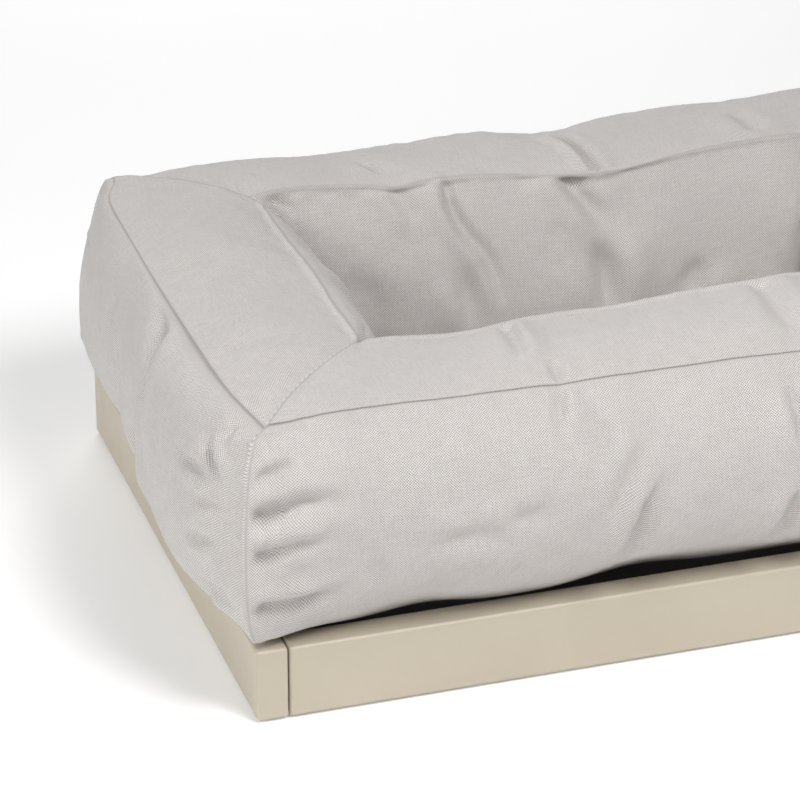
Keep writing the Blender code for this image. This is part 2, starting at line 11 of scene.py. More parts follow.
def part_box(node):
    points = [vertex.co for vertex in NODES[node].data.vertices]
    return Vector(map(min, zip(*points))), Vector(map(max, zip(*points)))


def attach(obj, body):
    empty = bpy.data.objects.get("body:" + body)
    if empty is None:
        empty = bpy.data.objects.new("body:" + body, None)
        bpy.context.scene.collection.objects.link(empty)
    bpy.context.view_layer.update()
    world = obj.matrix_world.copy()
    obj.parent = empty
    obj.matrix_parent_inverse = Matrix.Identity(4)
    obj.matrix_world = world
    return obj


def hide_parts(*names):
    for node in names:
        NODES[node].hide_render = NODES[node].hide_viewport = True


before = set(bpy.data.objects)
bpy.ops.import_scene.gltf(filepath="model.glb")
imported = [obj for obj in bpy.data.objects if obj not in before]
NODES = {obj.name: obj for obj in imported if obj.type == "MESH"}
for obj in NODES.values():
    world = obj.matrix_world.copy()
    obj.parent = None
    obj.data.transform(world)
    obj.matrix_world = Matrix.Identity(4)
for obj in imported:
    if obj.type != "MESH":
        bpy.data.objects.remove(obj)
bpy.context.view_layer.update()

# The frame, as the CAD model has it.
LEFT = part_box("left_board")[0].x
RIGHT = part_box("right_board")[1].x
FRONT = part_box("front_board")[0].y
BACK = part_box("back_board")[1].y
BOARD_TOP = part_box("front_board")[1].z
BOARD_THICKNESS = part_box("left_board")[1].x - LEFT
BED_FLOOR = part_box("base_cloth")[1].z + 0.0003
CLEARANCE = 0.0015  # between the cover and the boards, and between the cover and the pad
FILL_PLAY = 0.0170  # between the cover and its filling, more than any fold is deep

# The bolster ring's section. Insets count inwards from the frame's outer faces.
SEAM_HEIGHT = 0.250
OUTER_SEAM_INSET = 0.002
INNER_SEAM_INSET = 0.117
LIP_HEIGHT = BOARD_TOP + 0.006  # the cloth's lower edge, where it turns in under itself
LIP_LIFT = 0.45  # how much a gap lifts that edge, against how far it sets it back
FOOT_INSET = BOARD_THICKNESS + 0.0025
INNER_FOOT_INSET = 0.124
TUCK = 0.12  # share of the outer panel that stands inside the frame
TURN_START, TURN_LENGTH = 0.80, 0.16  # where in that share the cloth turns out to its lower edge
GAP_FADE = 0.25  # share of the outer panel's height over which a gap fades upwards
TOP_CROWN = 0.008
TOP_FULLNESS = 0.58

# How each side's outer and inner panels bulge: how far, how full (a lower power is rounder at the
# seams), and a power that puts the fullest place below the middle where it is under 1. For the outer
# panels, also the inset of the lower edge. Close to a corner every side has the corner's bulge.
OUTER_BULGES = {
    "front": (0.043, 0.74, 1.28, 0.014),
    "right": (0.038, 0.58, 0.74, 0.021),
    "back": (0.038, 0.58, 0.74, 0.021),
    "left": (0.041, 0.58, 0.76, 0.021),
    "corner": (0.038, 0.58, 0.74, 0.021),
}
INNER_BULGES = {
    "front": (0.028, 0.58, 0.85),
    "right": (0.033, 0.80, 1.00),
    "back": (0.035, 0.92, 1.45),
    "left": (0.038, 0.46, 0.75),
    "corner": (0.026, 0.55, 0.80),
}
BULGE_CHANGE = 0.035  # how far from a corner a side's own bulge is reached
INNER_CREASE = 0.014  # how far from an inner corner the cloth turns into the crease there
INNER_CREASE_DEPTH = 0.75  # share of the inner bulge that the crease takes away

# How a sag changes the bulge: its fullest place goes down, it gets rounder, and it reaches further.
SAG_SINK, SAG_FULLNESS, SAG_REACH = 0.24, 0.18, 0.010
CORNER_SINK = 1.3  # sag for each unit of a corner's squareness
FULLNESS_LIMITS = (0.25, 0.80)

# Cut lengths of the panels, along the section.
OUTER_CUT = 0.240
TOP_CUT = 0.1190
INNER_CUT = 0.232
SOLE_CUT = 0.095

# How cells crowd: towards both ends of a panel in the simulation and in the end, and where the end's
# columns gather, as (extra cells, spread), at the corners and at the folds narrower than NARROW_FOLD.
SIM_CROWDING, END_CROWDING = 0.5, 0.6
CORNER_COLUMNS, FOLD_COLUMNS, MOST_COLUMNS = (1.1, 0.07), (0.8, 0.014), 3.2
NARROW_FOLD = 0.007
PANEL_INSET = {"outer": 0, "top": 0.06, "inner": 0.12}  # about how far in each panel's folds are
EDGE_ROWS, ROW_SPREAD = 2, 0.03  # extra rows at the lower edge and the outer seam, and their spread

# Rows of cells across each panel and columns along each side: for the simulation and in the end.
PANELS = ("outer", "top", "inner", "sole")
CUTS = dict(zip(PANELS, (OUTER_CUT, TOP_CUT, INNER_CUT, SOLE_CUT)))
SIM_ROWS = dict(zip(PANELS, (34, 18, 30, 6)))
END_ROWS = dict(zip(PANELS, (62, 38, 50, 5)))
SIM_COLUMNS = {"long": 112, "short": 78}
END_COLUMNS = {"long": 188, "short": 128}
SIM_FRAMES, SIM_PRESSURE = 14, 4.0
HELD_HEIGHT = 0.004  # above the bed's floor, where the inner panel is held

SIDES = (
    # name, start place, direction, length, kind, start corner, end corner
    ("front", (LEFT, FRONT), (1, 0), RIGHT - LEFT, "long", "front_left", "front_right"),
    ("right", (RIGHT, FRONT), (0, 1), BACK - FRONT, "short", "front_right", "back_right"),
    ("back", (RIGHT, BACK), (-1, 0), RIGHT - LEFT, "long", "back_right", "back_left"),
    ("left", (LEFT, BACK), (0, -1), BACK - FRONT, "short", "back_left", "front_left"),
)

# The four upright corner seams: inset and drop added at the top, how far along the sides that reaches,
# and how much flatter and squarer the bulge is there.
CORNERS = {
    "front_left": (0.013, 0.009, 0.045, 0.009, 0.33),
    "front_right": (0.015, 0.009, 0.050, 0.008, 0.25),
    "back_right": (0.018, 0.007, 0.042, 0.008, 0.18),
    "back_left": (0.017, 0.003, 0.048, 0.009, 0.15),
}

# In SEAM_WAVES, SAGS, GAPS and FOLDS_MM a distance along a side counts from its left or front end.

# Where a top seam leaves its straight line: side, seam, distance along, spread, inset and height
# added there.
SEAM_WAVES = (
    ("back", "inner", 0.415, 0.075, 0.013, -0.007),
    ("back", "inner", 0.160, 0.060, -0.012, 0.003),
    ("back", "inner", 0.237, 0.018, 0.002, -0.003),
    ("back", "outer", 0.400, 0.045, 0.006, -0.006),
    ("back", "outer", 0.200, 0.110, 0.000, -0.010),
    ("back", "outer", 0.070, 0.070, 0.003, -0.004),
    ("back", "outer", 0.500, 0.300, 0.005, -0.008),
    ("front", "outer", 0.060, 0.120, 0.003, 0.002),
    ("front", "outer", 0.237, 0.012, 0.001, -0.002),
    ("front", "inner", 0.195, 0.045, 0.002, -0.008),
    ("front", "inner", 0.480, 0.110, 0.003, 0.004),
    ("left", "outer", 0.250, 0.200, -0.003, -0.002),
    ("left", "inner", 0.260, 0.080, 0.003, -0.002),
    ("right", "inner", 0.230, 0.060, 0.005, -0.004),
    ("right", "outer", 0.300, 0.070, 0.003, -0.003),
)

# How clearly the drawn thread line of each top seam shows, from 0 to 1.
SEAM_LINES = {
    ("front", "outer"): 0.72,
    ("front", "inner"): 0.15,
    ("right", "outer"): 0.35,
    ("right", "inner"): 0.10,
    ("back", "outer"): 0.35,
    ("back", "inner"): 0.10,
    ("left", "outer"): 0.48,
    ("left", "inner"): 0.30,
}
MITRE_LINE = 0.30
UPRIGHT_LINE = 0.12

# Where the outer side's bulge differs: side, distance along, spread, how much lower, how much fuller.
SAGS = (
    ("left", 0.140, 0.085, 1.0, 1.35),
    ("left", 0.480, 0.100, 0.8, -0.40),
    ("back", 0.080, 0.110, 0.3, -0.60),
    ("right", 0.330, 0.090, 0.7, 0.7),
    ("back", 0.600, 0.090, 0.5, 0.5),
)

# Where the bolster stands back from a board: side, distance along, spread, width of the gap.
GAPS = (
    ("front", 0.120, 0.045, 0.007),
    ("front", 0.310, 0.060, 0.011),
    ("front", 0.440, 0.100, 0.007),
    ("front", 0.600, 0.070, 0.008),
    ("right", 0.200, 0.080, 0.008),
)

# Folds pressed into the cover, in millimetres, for each side's panels: path, depth, width, lip.
# A path's points are (along the side, down from the top seam; on the top panel, in from the outer
# seam). The lip is the raised edge beside the fold: 1 on the left of the path as it is walked, -1 on
# its right, 0 both.
FOLDS_MM = {
    ("front", "outer"): (
        (((6, 48), (18, 43), (33, 34)), 5.4, 4.2, 1),
        (((3, 80), (30, 72), (68, 76)), 9.1, 7.5, 1),
        (((3, 112), (24, 106), (56, 108)), 7, 6.5, 1),
        (((4, 158), (30, 164), (70, 158)), 8.8, 7.5, 1),
        (((85, 130), (90, 165)), 3.9, 7, 0),
        (((120, 122), (165, 114), (205, 130)), 4.9, 10, 1),
        (((185, 106), (232, 98)), 4.2, 9, 1),
        (((238, 3), (235, 20), (233, 40)), 4.3, 4.2, 1),
        (((254, 12), (266, 45), (272, 100)), 6.3, 8, 1),
        (((296, 45), (284, 80), (275, 105), (273, 140)), 9, 8, -1),
        (((311, 75), (299, 115), (293, 150), (289, 190)), 12.5, 7.8, -1),
        (((417, 25), (423, 55), (425, 90)), 6.5, 5.8, -1),
        (((426, 110), (419, 150), (411, 190)), 9, 7.5, -1),
        (((560, 4), (566, 30), (580, 70)), 7, 6, 1),
        (((615, 105), (603, 150), (600, 190)), 10.5, 8, -1),
    ),
    ("left", "outer"): (
        (((50, 40), (34, 52), (14, 64)), 5.7, 4.2, -1),
        (((78, 70), (50, 67), (16, 66)), 5.1, 4.5, 1),
        (((48, 90), (30, 86), (8, 80)), 4.3, 4.2, 1),
        (((62, 127), (36, 118), (6, 110)), 5.4, 5.2, 1),
        (((52, 166), (30, 162), (6, 156)), 7, 6, 1),
        (((34, 30), (22, 10)), 3.8, 4.2, 1),
        (((222, 3), (205, 20), (191, 60), (182, 105), (176, 150)), 6.6, 13, -1),
        (((330, 30), (336, 125)), 3.5, 9, 0),
        (((285, 50), (300, 150)), 4.2, 10, 0),
        (((222, 105), (232, 150), (240, 195)), 14.9, 15, 0),
    ),
    ("front", "top"): (
        (((232, 114), (228, 85), (225, 55), (210, 20)), 4.6, 5.5, -1),
        (((240, 3), (244, 36)), 4.1, 4.5, 1),
        (((446, 114), (439, 60), (435, 4)), 6.3, 8, -1),
        (((584, 112), (575, 70), (562, 6)), 5.9, 7, 1),
    ),
    ("front", "inner"): (
        (((300, 4), (310, 50), (300, 110)), 7, 7, 1),
        (((500, 30), (520, 110)), 7, 8, -1),
    ),
    ("left", "top"): (
        (((285, 6), (288, 45), (297, 96)), 2.1, 9, -1),
        (((118, 4), (134, 38), (138, 92)), 2.5, 9, -1),
        (((70, 12), (95, 50), (102, 85)), 2.1, 9, -1),
    ),
    ("left", "inner"): (
        (((250, 10), (240, 110)), 7, 8, 1),
    ),
    ("back", "top"): (
        (((414, 115), (409, 70), (400, 35), (388, 4)), 8, 5.2, 1),
        (((222, 65), (237, 114)), 4.6, 6, -1),
        (((568, 114), (560, 60)), 4.6, 8, 1),
    ),
    ("back", "inner"): (
        (((237, 3), (245, 18), (255, 36)), 5.4, 7, -1),
        (((281, 6), (283, 25), (290, 43), (308, 66), (320, 100), (330, 128)), 7.2, 6.1, -1),
        (((294, 3), (299, 20)), 3.1, 6.1, -1),
        (((283, 76), (292, 110), (296, 140)), 7, 10.1, -1),
        (((387, 3), (398, 20), (410, 36), (430, 52)), 9.3, 9.4, -1),
        (((405, 56), (414, 85), (417, 110), (414, 140)), 12.5, 12.3, 1),
        (((368, 42), (376, 60)), 2.3, 8, 0),
        (((500, 95), (487, 135)), 7.5, 13, 1),
        (((190, 75), (215, 130)), 5.7, 17.4, 0),
        (((126, 5), (140, 12), (154, 26)), 4.9, 6.1, -1),
    ),
    ("back", "outer"): (
        (((330, 4), (340, 55)), 5.4, 5.5, 1),
        (((560, 6), (552, 70)), 7, 7, -1),
        (((185, 20), (190, 85)), 5.3, 8, 0),
        (((665, 110), (672, 190)), 10.5, 8, 1),
    ),
    ("right", "top"): (
        (((215, 4), (225, 60), (235, 114)), 6.3, 6, 1),
        (((370, 10), (360, 90)), 4.6, 8, 1),
    ),
    ("right", "outer"): (
        (((216, 3), (228, 40), (232, 95)), 5.9, 5.2, 1),
        (((330, 100), (342, 150), (340, 190)), 10.9, 8, -1),
        (((120, 120), (112, 190)), 9.6, 8, 1),
    ),
    ("right", "inner"): (
        (((235, 4), (245, 60), (240, 110)), 8.8, 6.5, -1),
    ),
}
FOLDS = tuple(
    (side, panel, tuple((a / 1000, d / 1000) for a, d in path), depth / 1000, width / 1000, lip)
    for (side, panel), folds in FOLDS_MM.items()
    for path, depth, width, lip in folds
)

# Gathers beside the three corner seams that the camera doesn't show: how far down each one starts.
GATHERS = (0.046, 0.076, 0.108, 0.152)
# The limits between which each one's reach, slant, depth and width are drawn.
GATHER_REACH, GATHER_SLANT = (0.028, 0.058), (-0.010, 0.006)
GATHER_DEPTH, GATHER_WIDTH = (0.0040, 0.0062), (0.0042, 0.0066)
GATHER_START = 0.004  # from the corner seam


# Numbers


def bell(x, middle, spread):
    return np.exp(-(((x - middle) / spread) ** 2))


def blend(a, b, share):
    return a + (b - a) * share


def smooth(x):
    x = np.clip(x, 0, 1)
    return x * x * (3 - 2 * x)


def crowded(cells, crowding):
    """Places from 0 to 1, closer together near both ends."""
    t = np.arange(cells + 1) / cells
    return t - crowding * np.sin(2 * np.pi * t) / (2 * np.pi)


def places(cells, wanted):
    """Places from 0 to 1, closer together where wanted(place) is higher."""
    x = np.linspace(0, 1, 4001)
    total = np.concatenate([[0], np.cumsum(wanted(x[1:]))])
    return np.interp(np.linspace(0, 1, cells + 1), total / total[-1], x)


def resample(values, old, new):
    """Smooth curves through values at the old places, read at the new places, down the first axis."""
    slope = np.gradient(values, old, axis=0, edge_order=2)
    cell = np.clip(np.searchsorted(old, new, side="right") - 1, 0, len(old) - 2)
    width = (old[cell + 1] - old[cell])[:, None, None]
    x = (new - old[cell])[:, None, None] / width
    here = (2 * x**3 - 3 * x**2 + 1) * values[cell]
    there = (3 * x**2 - 2 * x**3) * values[cell + 1]
    return (
        here
        + there
        + (x**3 - 2 * x**2 + x) * slope[cell] * width
        + (x**3 - x**2) * slope[cell + 1] * width
    )


# The bolster ring as a grid: columns run round the bed, rows run round the section. A layout holds
# the places of the columns on each side and of the rows on each panel, both ends included.


def sim_layout():
    columns = {side[0]: crowded(SIM_COLUMNS[side[4]], SIM_CROWDING) for side in SIDES}
    return columns, {panel: crowded(SIM_ROWS[panel], SIM_CROWDING) for panel in PANELS}


def end_layout(folds):
    """Columns crowd at the corners and where folds are, rows crowd at the seams."""
    columns = {}
    for side in SIDES:
        name, length = side[0], side[3]

        def wanted(t):
            extra, spread = CORNER_COLUMNS
            density = 1 + extra * (bell(t, 0, spread) + bell(t, 1, spread))
            extra, spread = FOLD_COLUMNS
            for fold_side, panel, path, _, width, _ in folds:
                if fold_side == name and width < NARROW_FOLD:
                    for along, _ in path:
                        inset = PANEL_INSET[panel]
                        place = (from_start(name, length, along) - inset) / (length - 2 * inset)
                        density = density + extra * bell(t, place, spread / length)
            return np.minimum(density, MOST_COLUMNS)

        columns[name] = places(END_COLUMNS[side[4]], wanted)
    rows = {panel: crowded(END_ROWS[panel], END_CROWDING) for panel in PANELS}
    rows["outer"] = places(END_ROWS["outer"], rows_wanted)
    return columns, rows


def rows_wanted(v):
    """How closely rows lie on the outer panel, from its foot at 0 to the outer seam at 1."""
    at_edges = bell(v, TUCK, ROW_SPREAD) + bell(v, 1, ROW_SPREAD)
    return 1 + EDGE_ROWS * at_edges + bell(v, 0, ROW_SPREAD)


def from_start(name, length, along):
    """Distances along a side, counted from its start in SIDES instead. It works both ways."""
    return length - along if name in ("back", "left") else along


def grid_blocks(layout):
    """(side, panel, its columns, its rows) for each side of each panel."""
    columns, rows = layout
    first = 0
    for side in SIDES:
        last = first + len(columns[side[0]]) - 1
        top = 0
        for panel in PANELS:
            bottom = top + len(rows[panel]) - 1
            yield side, panel, slice(first, last), slice(top, bottom)
            top = bottom
        first = last


def ring_point(side, t, inset, height):
    """Places on one side of the ring. t runs from 0 at its start mitre to 1 at its end mitre."""
    _, (x, y), (dx, dy), length = side[:4]
    along = inset + t * (length - 2 * inset)
    return np.stack(
        [x + dx * along - dy * inset, y + dy * along + dx * inset, height + 0 * along], -1
    )


def seam_place(side, seam, t):
    """(inset, height, flattening, squareness) of a top seam at t along a side, waves and all."""
    name, _, _, length, _, start, end = side
    straight = OUTER_SEAM_INSET if seam == "outer" else INNER_SEAM_INSET
    walked = straight + t * (length - 2 * straight)
    along = from_start(name, length, walked)
    inset, height = straight, SEAM_HEIGHT
    for wave_side, wave_seam, middle, spread, inwards, upwards in SEAM_WAVES:
        if (wave_side, wave_seam) == (name, seam):
            swell = bell(along, middle, spread)
            inset = inset + inwards * swell
            height = height + upwards * swell
    flatter = squarer = 0
    for corner, distance in ((start, walked - straight), (end, length - straight - walked)):
        draw_in, drop, reach, flattening, squareness = CORNERS[corner]
        near = bell(distance, 0, reach)
        flatter = flatter + flattening * near
        squarer = squarer + squareness * near
        if seam == "outer":
            inset = inset + draw_in * near
            height = height - drop * near
    return inset, height, flatter, squarer


def side_bulge(bulges, name, to_corner):
    return (blend(own, corner, to_corner) for own, corner in zip(bulges[name], bulges["corner"]))


def side_section(side, t, panel, v, sagging):
    """(insets, heights) down one panel of the section at t along a side."""
    name, length = side[0], side[3]
    to_corner = bell(t * length, 0, BULGE_CHANGE) + bell((1 - t) * length, 0, BULGE_CHANGE)
    crease = bell(t * length, 0, INNER_CREASE) + bell((1 - t) * length, 0, INNER_CREASE)
    outer_inset, outer_height, flatter, squarer = seam_place(side, "outer", t)
    inner_inset, inner_height, _, _ = seam_place(side, "inner", t)
    if panel == "outer":
        lower, fuller, gap = squarer * CORNER_SINK, 0, 0
        if sagging:
            along = from_start(name, length, t * length)
            for _, middle, spread, sinking, filling in (s for s in SAGS if s[0] == name):
                lower = lower + sinking * bell(along, middle, spread)
                fuller = fuller + filling * bell(along, middle, spread)
            for _, middle, spread, standing in (g for g in GAPS if g[0] == name):
                gap = gap + standing * bell(along, middle, spread)
        low = np.clip(v / TUCK, 0, 1)
        high = np.clip((v - TUCK) / (1 - TUCK), 0, 1)
        reach, fullness, sink, lip_inset = side_bulge(OUTER_BULGES, name, to_corner)
        sink = sink - SAG_SINK * np.clip(lower, 0, 1)
        fullness = np.clip(fullness - squarer - SAG_FULLNESS * fuller, *FULLNESS_LIMITS)
        bulge = (reach - flatter + SAG_REACH * fuller) * np.sin(np.pi * high**sink) ** fullness
        inset = gap * (1 - smooth(high / GAP_FADE)) + np.where(
            v < TUCK,
            blend(FOOT_INSET, lip_inset, smooth((low - TURN_START) / TURN_LENGTH)),
            blend(lip_inset, outer_inset, high) - bulge,
        )
        lip = LIP_HEIGHT + LIP_LIFT * gap
        height = np.where(v < TUCK, blend(BED_FLOOR, lip, low), blend(lip, outer_height, high))
    elif panel == "top":
        inset = blend(outer_inset, inner_inset, v)
        height = blend(outer_height, inner_height, v) + TOP_CROWN * np.sin(np.pi * v) ** TOP_FULLNESS
    elif panel == "inner":
        reach, fullness, sink = side_bulge(INNER_BULGES, name, to_corner)
        bulge = reach * np.sin(np.pi * v**sink) ** fullness
        if sagging:
            bulge = bulge * (1 - INNER_CREASE_DEPTH * np.clip(crease, 0, 1))
        inset = blend(inner_inset, INNER_FOOT_INSET, v) + bulge
        height = blend(inner_height, BED_FLOOR, v)
    else:
        inset = blend(INNER_FOOT_INSET, FOOT_INSET, v)
        height = BED_FLOOR + 0 * v
    return inset, height


def cut_section(panel, v):
    """(insets, heights) of a flat-sided ring with the panels' cut lengths."""
    top_inset = OUTER_SEAM_INSET + TOP_CUT
    if panel == "outer":
        return OUTER_SEAM_INSET + 0 * v, SEAM_HEIGHT - OUTER_CUT * (1 - v)
    if panel == "top":
        return OUTER_SEAM_INSET + TOP_CUT * v, SEAM_HEIGHT + 0 * v
    if panel == "inner":
        return top_inset + 0 * v, SEAM_HEIGHT - INNER_CUT * v
    return (
        blend(top_inset, OUTER_SEAM_INSET, v),
        blend(SEAM_HEIGHT - INNER_CUT, SEAM_HEIGHT - OUTER_CUT, v),
    )


def ring_grid(layout, cut=False, sagging=False):
    """Points[column, row] of the whole ring, in its sewn form or as the flat-sided cut."""
    columns, rows = layout
    size = (sum(len(t) - 1 for t in columns.values()), sum(len(v) - 1 for v in rows.values()), 3)
    grid = np.zeros(size)
    for side, panel, across, down in grid_blocks(layout):
        t = columns[side[0]][:-1, None]
        v = rows[panel][None, :-1]
        section = cut_section(panel, v) if cut else side_section(side, t, panel, v, sagging)
        grid[across, down] = ring_point(side, t, *section)
    return grid


def mesh_of_grid(name, grid):
    """A closed mesh of quads, with its faces pointing out."""
    columns, rows = grid.shape[:2]
    index = np.arange(columns * rows).reshape(columns, rows)
    across = np.roll(index, -1, 0)
    faces = np.stack([index, across, np.roll(across, -1, 1), np.roll(index, -1, 1)], -1)
    return new_mesh(name, grid.reshape(-1, 3).tolist(), faces.reshape(-1, 4).tolist())


def new_mesh(name, points, faces):
    mesh = bpy.data.meshes.new(name)
    mesh.from_pydata(points, [], faces)
    mesh.shade_smooth()
    return new_object(name, mesh)


def new_object(name, data):
    obj = bpy.data.objects.new(name, data)
    bpy.context.scene.collection.objects.link(obj)
    return obj


CLOTH = {
    "quality": 5,
    "mass": 0.001,
    "tension_stiffness": 20,
    "compression_stiffness": 8,
    "shear_stiffness": 4,
    "bending_stiffness": 0.12,
    "air_damping": 2,
    "use_pressure": True,
}


def inflate(obj, cut, held, frames, pressure):
    """Blender's Cloth on a closed mesh: pressed out from inside, cut to other points, and held."""
    count = len(obj.data.vertices)
    obj.shape_key_add(name="sewn")
    key = obj.shape_key_add(name="cut")
    key.data.foreach_set("co", cut.reshape(-1).astype(np.float32))
    pins = obj.vertex_groups.new(name="held")
    pins.add(np.flatnonzero(held).tolist(), 1.0, "REPLACE")
    cloth = obj.modifiers.new("Cloth", "CLOTH")
    settings = cloth.settings
    for name, value in CLOTH.items():
        setattr(settings, name, value)
    settings.uniform_pressure_force = pressure
    settings.effector_weights.gravity = 0
    settings.vertex_group_mass = "held"
    settings.rest_shape_key = key
    cloth.collision_settings.use_collision = False
    cloth.point_cache.frame_start = 1
    cloth.point_cache.frame_end = frames
    scene = bpy.context.scene
    for number in range(1, frames + 1):
        scene.frame_set(number)
    result = np.zeros(count * 3, np.float32)
    evaluated = obj.evaluated_get(bpy.context.evaluated_depsgraph_get())
    evaluated.data.vertices.foreach_get("co", result)
    scene.frame_set(1)
    bpy.data.objects.remove(obj, do_unlink=True)
    return result.reshape(-1, 3).astype(float)


def sewn_ring(layout):
    """The inflated ring on the simulation's grid."""
    grid = ring_grid(layout)
    held = np.zeros(grid.shape[:2], bool)
    for side, panel, across, down in grid_blocks(layout):
        if panel == "sole":
            held[across, down] = True
        else:
            held[across, down.start] = panel != "outer"  # the two top seams
        if panel == "outer":
            held[across, down] |= grid[across, down, 2] < LIP_HEIGHT
            held[across.start, down] = True  # the upright corner seams
        if panel == "inner":
            held[across, down] |= grid[across, down, 2] < BED_FLOOR + HELD_HEIGHT
    cut = ring_grid(layout, cut=True)
    swollen = inflate(mesh_of_grid("cloth", grid), cut, held.ravel(), SIM_FRAMES, SIM_PRESSURE)
    return swollen.reshape(grid.shape)


def closed_block(grid, across, down):
    """A block of the ring with the column and the row that follow it."""
    picked = np.arange(across.start, across.stop + 1) % grid.shape[0]
    chosen = np.arange(down.start, down.stop + 1) % grid.shape[1]
    return grid[np.ix_(picked, chosen)]


def walked_down(block):
    """Distance of each place of a block from its first row, along the cloth."""
    steps = np.linalg.norm(np.diff(block, axis=1), axis=2)
    return np.concatenate([np.zeros((len(block), 1)), np.cumsum(steps, axis=1)], 1)


def refined(grid, old, new):
    """The ring on another layout, smooth within each panel and angled at its seams."""
    result = np.zeros(ring_grid(new).shape)
    for (side, panel, across, down), (_, _, new_across, new_down) in zip(
        grid_blocks(old), grid_blocks(new)
    ):
        block = closed_block(grid, across, down)
        block = resample(block, old[0][side[0]], new[0][side[0]][:-1])
        block = resample(block.transpose(1, 0, 2), old[1][panel], new[1][panel][:-1])
        result[new_across, new_down] = block.transpose(1, 0, 2)
    return result


def grid_normals(grid):
    around = np.roll(grid, -1, 0) - np.roll(grid, 1, 0)
    up = np.roll(grid, -1, 1) - np.roll(grid, 1, 1)
    normal = np.cross(around, up)
    return normal / np.linalg.norm(normal, axis=2, keepdims=True)


# What is pressed into the cover after the simulation


def corner_gathers():
    """Short folds running away from the hidden corner seams."""
    chance = random.Random(7)
    folds = []
    for side in SIDES:
        name, _, _, length, _, start, end = side
        for corner in (start, end):
            if corner == "front_left":
                continue
            for down in GATHERS:
                reach = chance.uniform(*GATHER_REACH)
                slant = chance.uniform(*GATHER_SLANT)
                walk = [GATHER_START, reach * 0.5, reach]
                if corner == end:
                    walk = [length - w for w in walk]
                path = tuple(
                    (from_start(name, length, w), down + slant * share)
                    for w, share in zip(walk, (0, 0.7, 1))
                )
                lip = 1 if path[0][0] < path[2][0] else -1
                depth = chance.uniform(*GATHER_DEPTH)
                width = chance.uniform(*GATHER_WIDTH)
                folds.append((name, "outer", path, depth, width, lip))
    return tuple(folds)


# A fold's shape. If it starts within AT_SEAM of the left or front corner, or of the panel's seam, it
# opens from there at its full depth, and otherwise it swells up over a share of its length. It fades
# over a share of its length at its end. Its raised edges are (share of the depth, how far beside the
# groove, how wide), the last two in widths of the groove.
AT_SEAM = 0.009
FOLD_SWELL, FOLD_START, FOLD_FADE = 0.4, 0.06, 0.55
LIP_EDGE, FAR_EDGE, EVEN_EDGE = (0.60, 1.9, 1.3), (0.18, 2.1, 1.6), (0.3, 2.0, 1.4)


def raised(sideways, width, edge, direction):
    share, beside, spread = edge
    return share * bell(sideways, direction * beside * width, spread * width)


def fold_depth(along, down, fold):
    """How far a fold moves the cloth at each place of its panel, inwards positive."""
    _, panel, path, depth, width, lip = fold
    path = np.array(path)
    steps = np.diff(path, axis=0)
    lengths = np.hypot(steps[:, 0], steps[:, 1])
    walked = np.concatenate([[0], np.cumsum(lengths)])
    nearest = np.full(along.shape, np.inf)
    sideways = np.zeros(along.shape)
    share = np.zeros(along.shape)
    for (a, d), (da, dd), length, before in zip(path, steps, lengths, walked):
        s = np.clip(((along - a) * da + (down - d) * dd) / length**2, 0, 1)
        gap_a, gap_d = along - (a + s * da), down - (d + s * dd)
        gap = np.hypot(gap_a, gap_d)
        closer = gap < nearest
        nearest = np.where(closer, gap, nearest)
        left = (gap_a * dd - gap_d * da) > 0
        sideways = np.where(closer, np.where(left, gap, -gap), sideways)
        share = np.where(closer, (before + s * length) / walked[-1], share)
    from_inner_seam = panel == "top" and path[0, 1] > TOP_CUT - AT_SEAM
    swell = smooth((1 - share) / FOLD_FADE)
    if min(path[0]) > AT_SEAM and not from_inner_seam:
        swell = swell * smooth((share + FOLD_START) / FOLD_SWELL)
    beyond = np.sqrt(np.maximum(nearest**2 - sideways**2, 0))
    swell = swell * np.exp(-((beyond / width) ** 2))
    groove = bell(sideways, 0, width)
    near, far = (LIP_EDGE, FAR_EDGE) if lip else (EVEN_EDGE, EVEN_EDGE)
    direction = lip or 1
    edges = raised(sideways, width, near, direction) + raised(sideways, width, far, -direction)
    return depth * swell * (groove - edges)


NOISE_STEP = (7.3, 3.1, 5.7)  # from one seed's noise to the next


def lumpiness(points, size, seed):
    """Smooth noise from -1 to 1 at each point."""
    shift = Vector([seed * step for step in NOISE_STEP])
    flat = points.reshape(-1, 3) / size
    values = [noise.noise(Vector(p) + shift) for p in flat.tolist()]
    return np.array(values).reshape(points.shape[:2])


def down_from_seam(grid, panel, across, down):
    """Distance of each place from its panel's upper seam, or on the top from the outer seam."""
    walked = walked_down(closed_block(grid, across, down)[:-1])
    if panel == "outer":
        walked = walked[:, -1:] - walked
    return walked[:, :-1]


def panel_inset(panel, v):
    """How far in from the frame's outline a place of the cut cloth is."""
    on_top = {"outer": 0 * v, "top": v}.get(panel, 1 + 0 * v)
    return OUTER_SEAM_INSET + TOP_CUT * on_top


def cloth_place(side, panel, t, v):
    """(along, down) on the cloth as it was cut, in metres, for the weave and the seams."""
    inset = panel_inset(panel, v)
    return inset + t * (side[3] - 2 * inset), v * CUTS[panel]


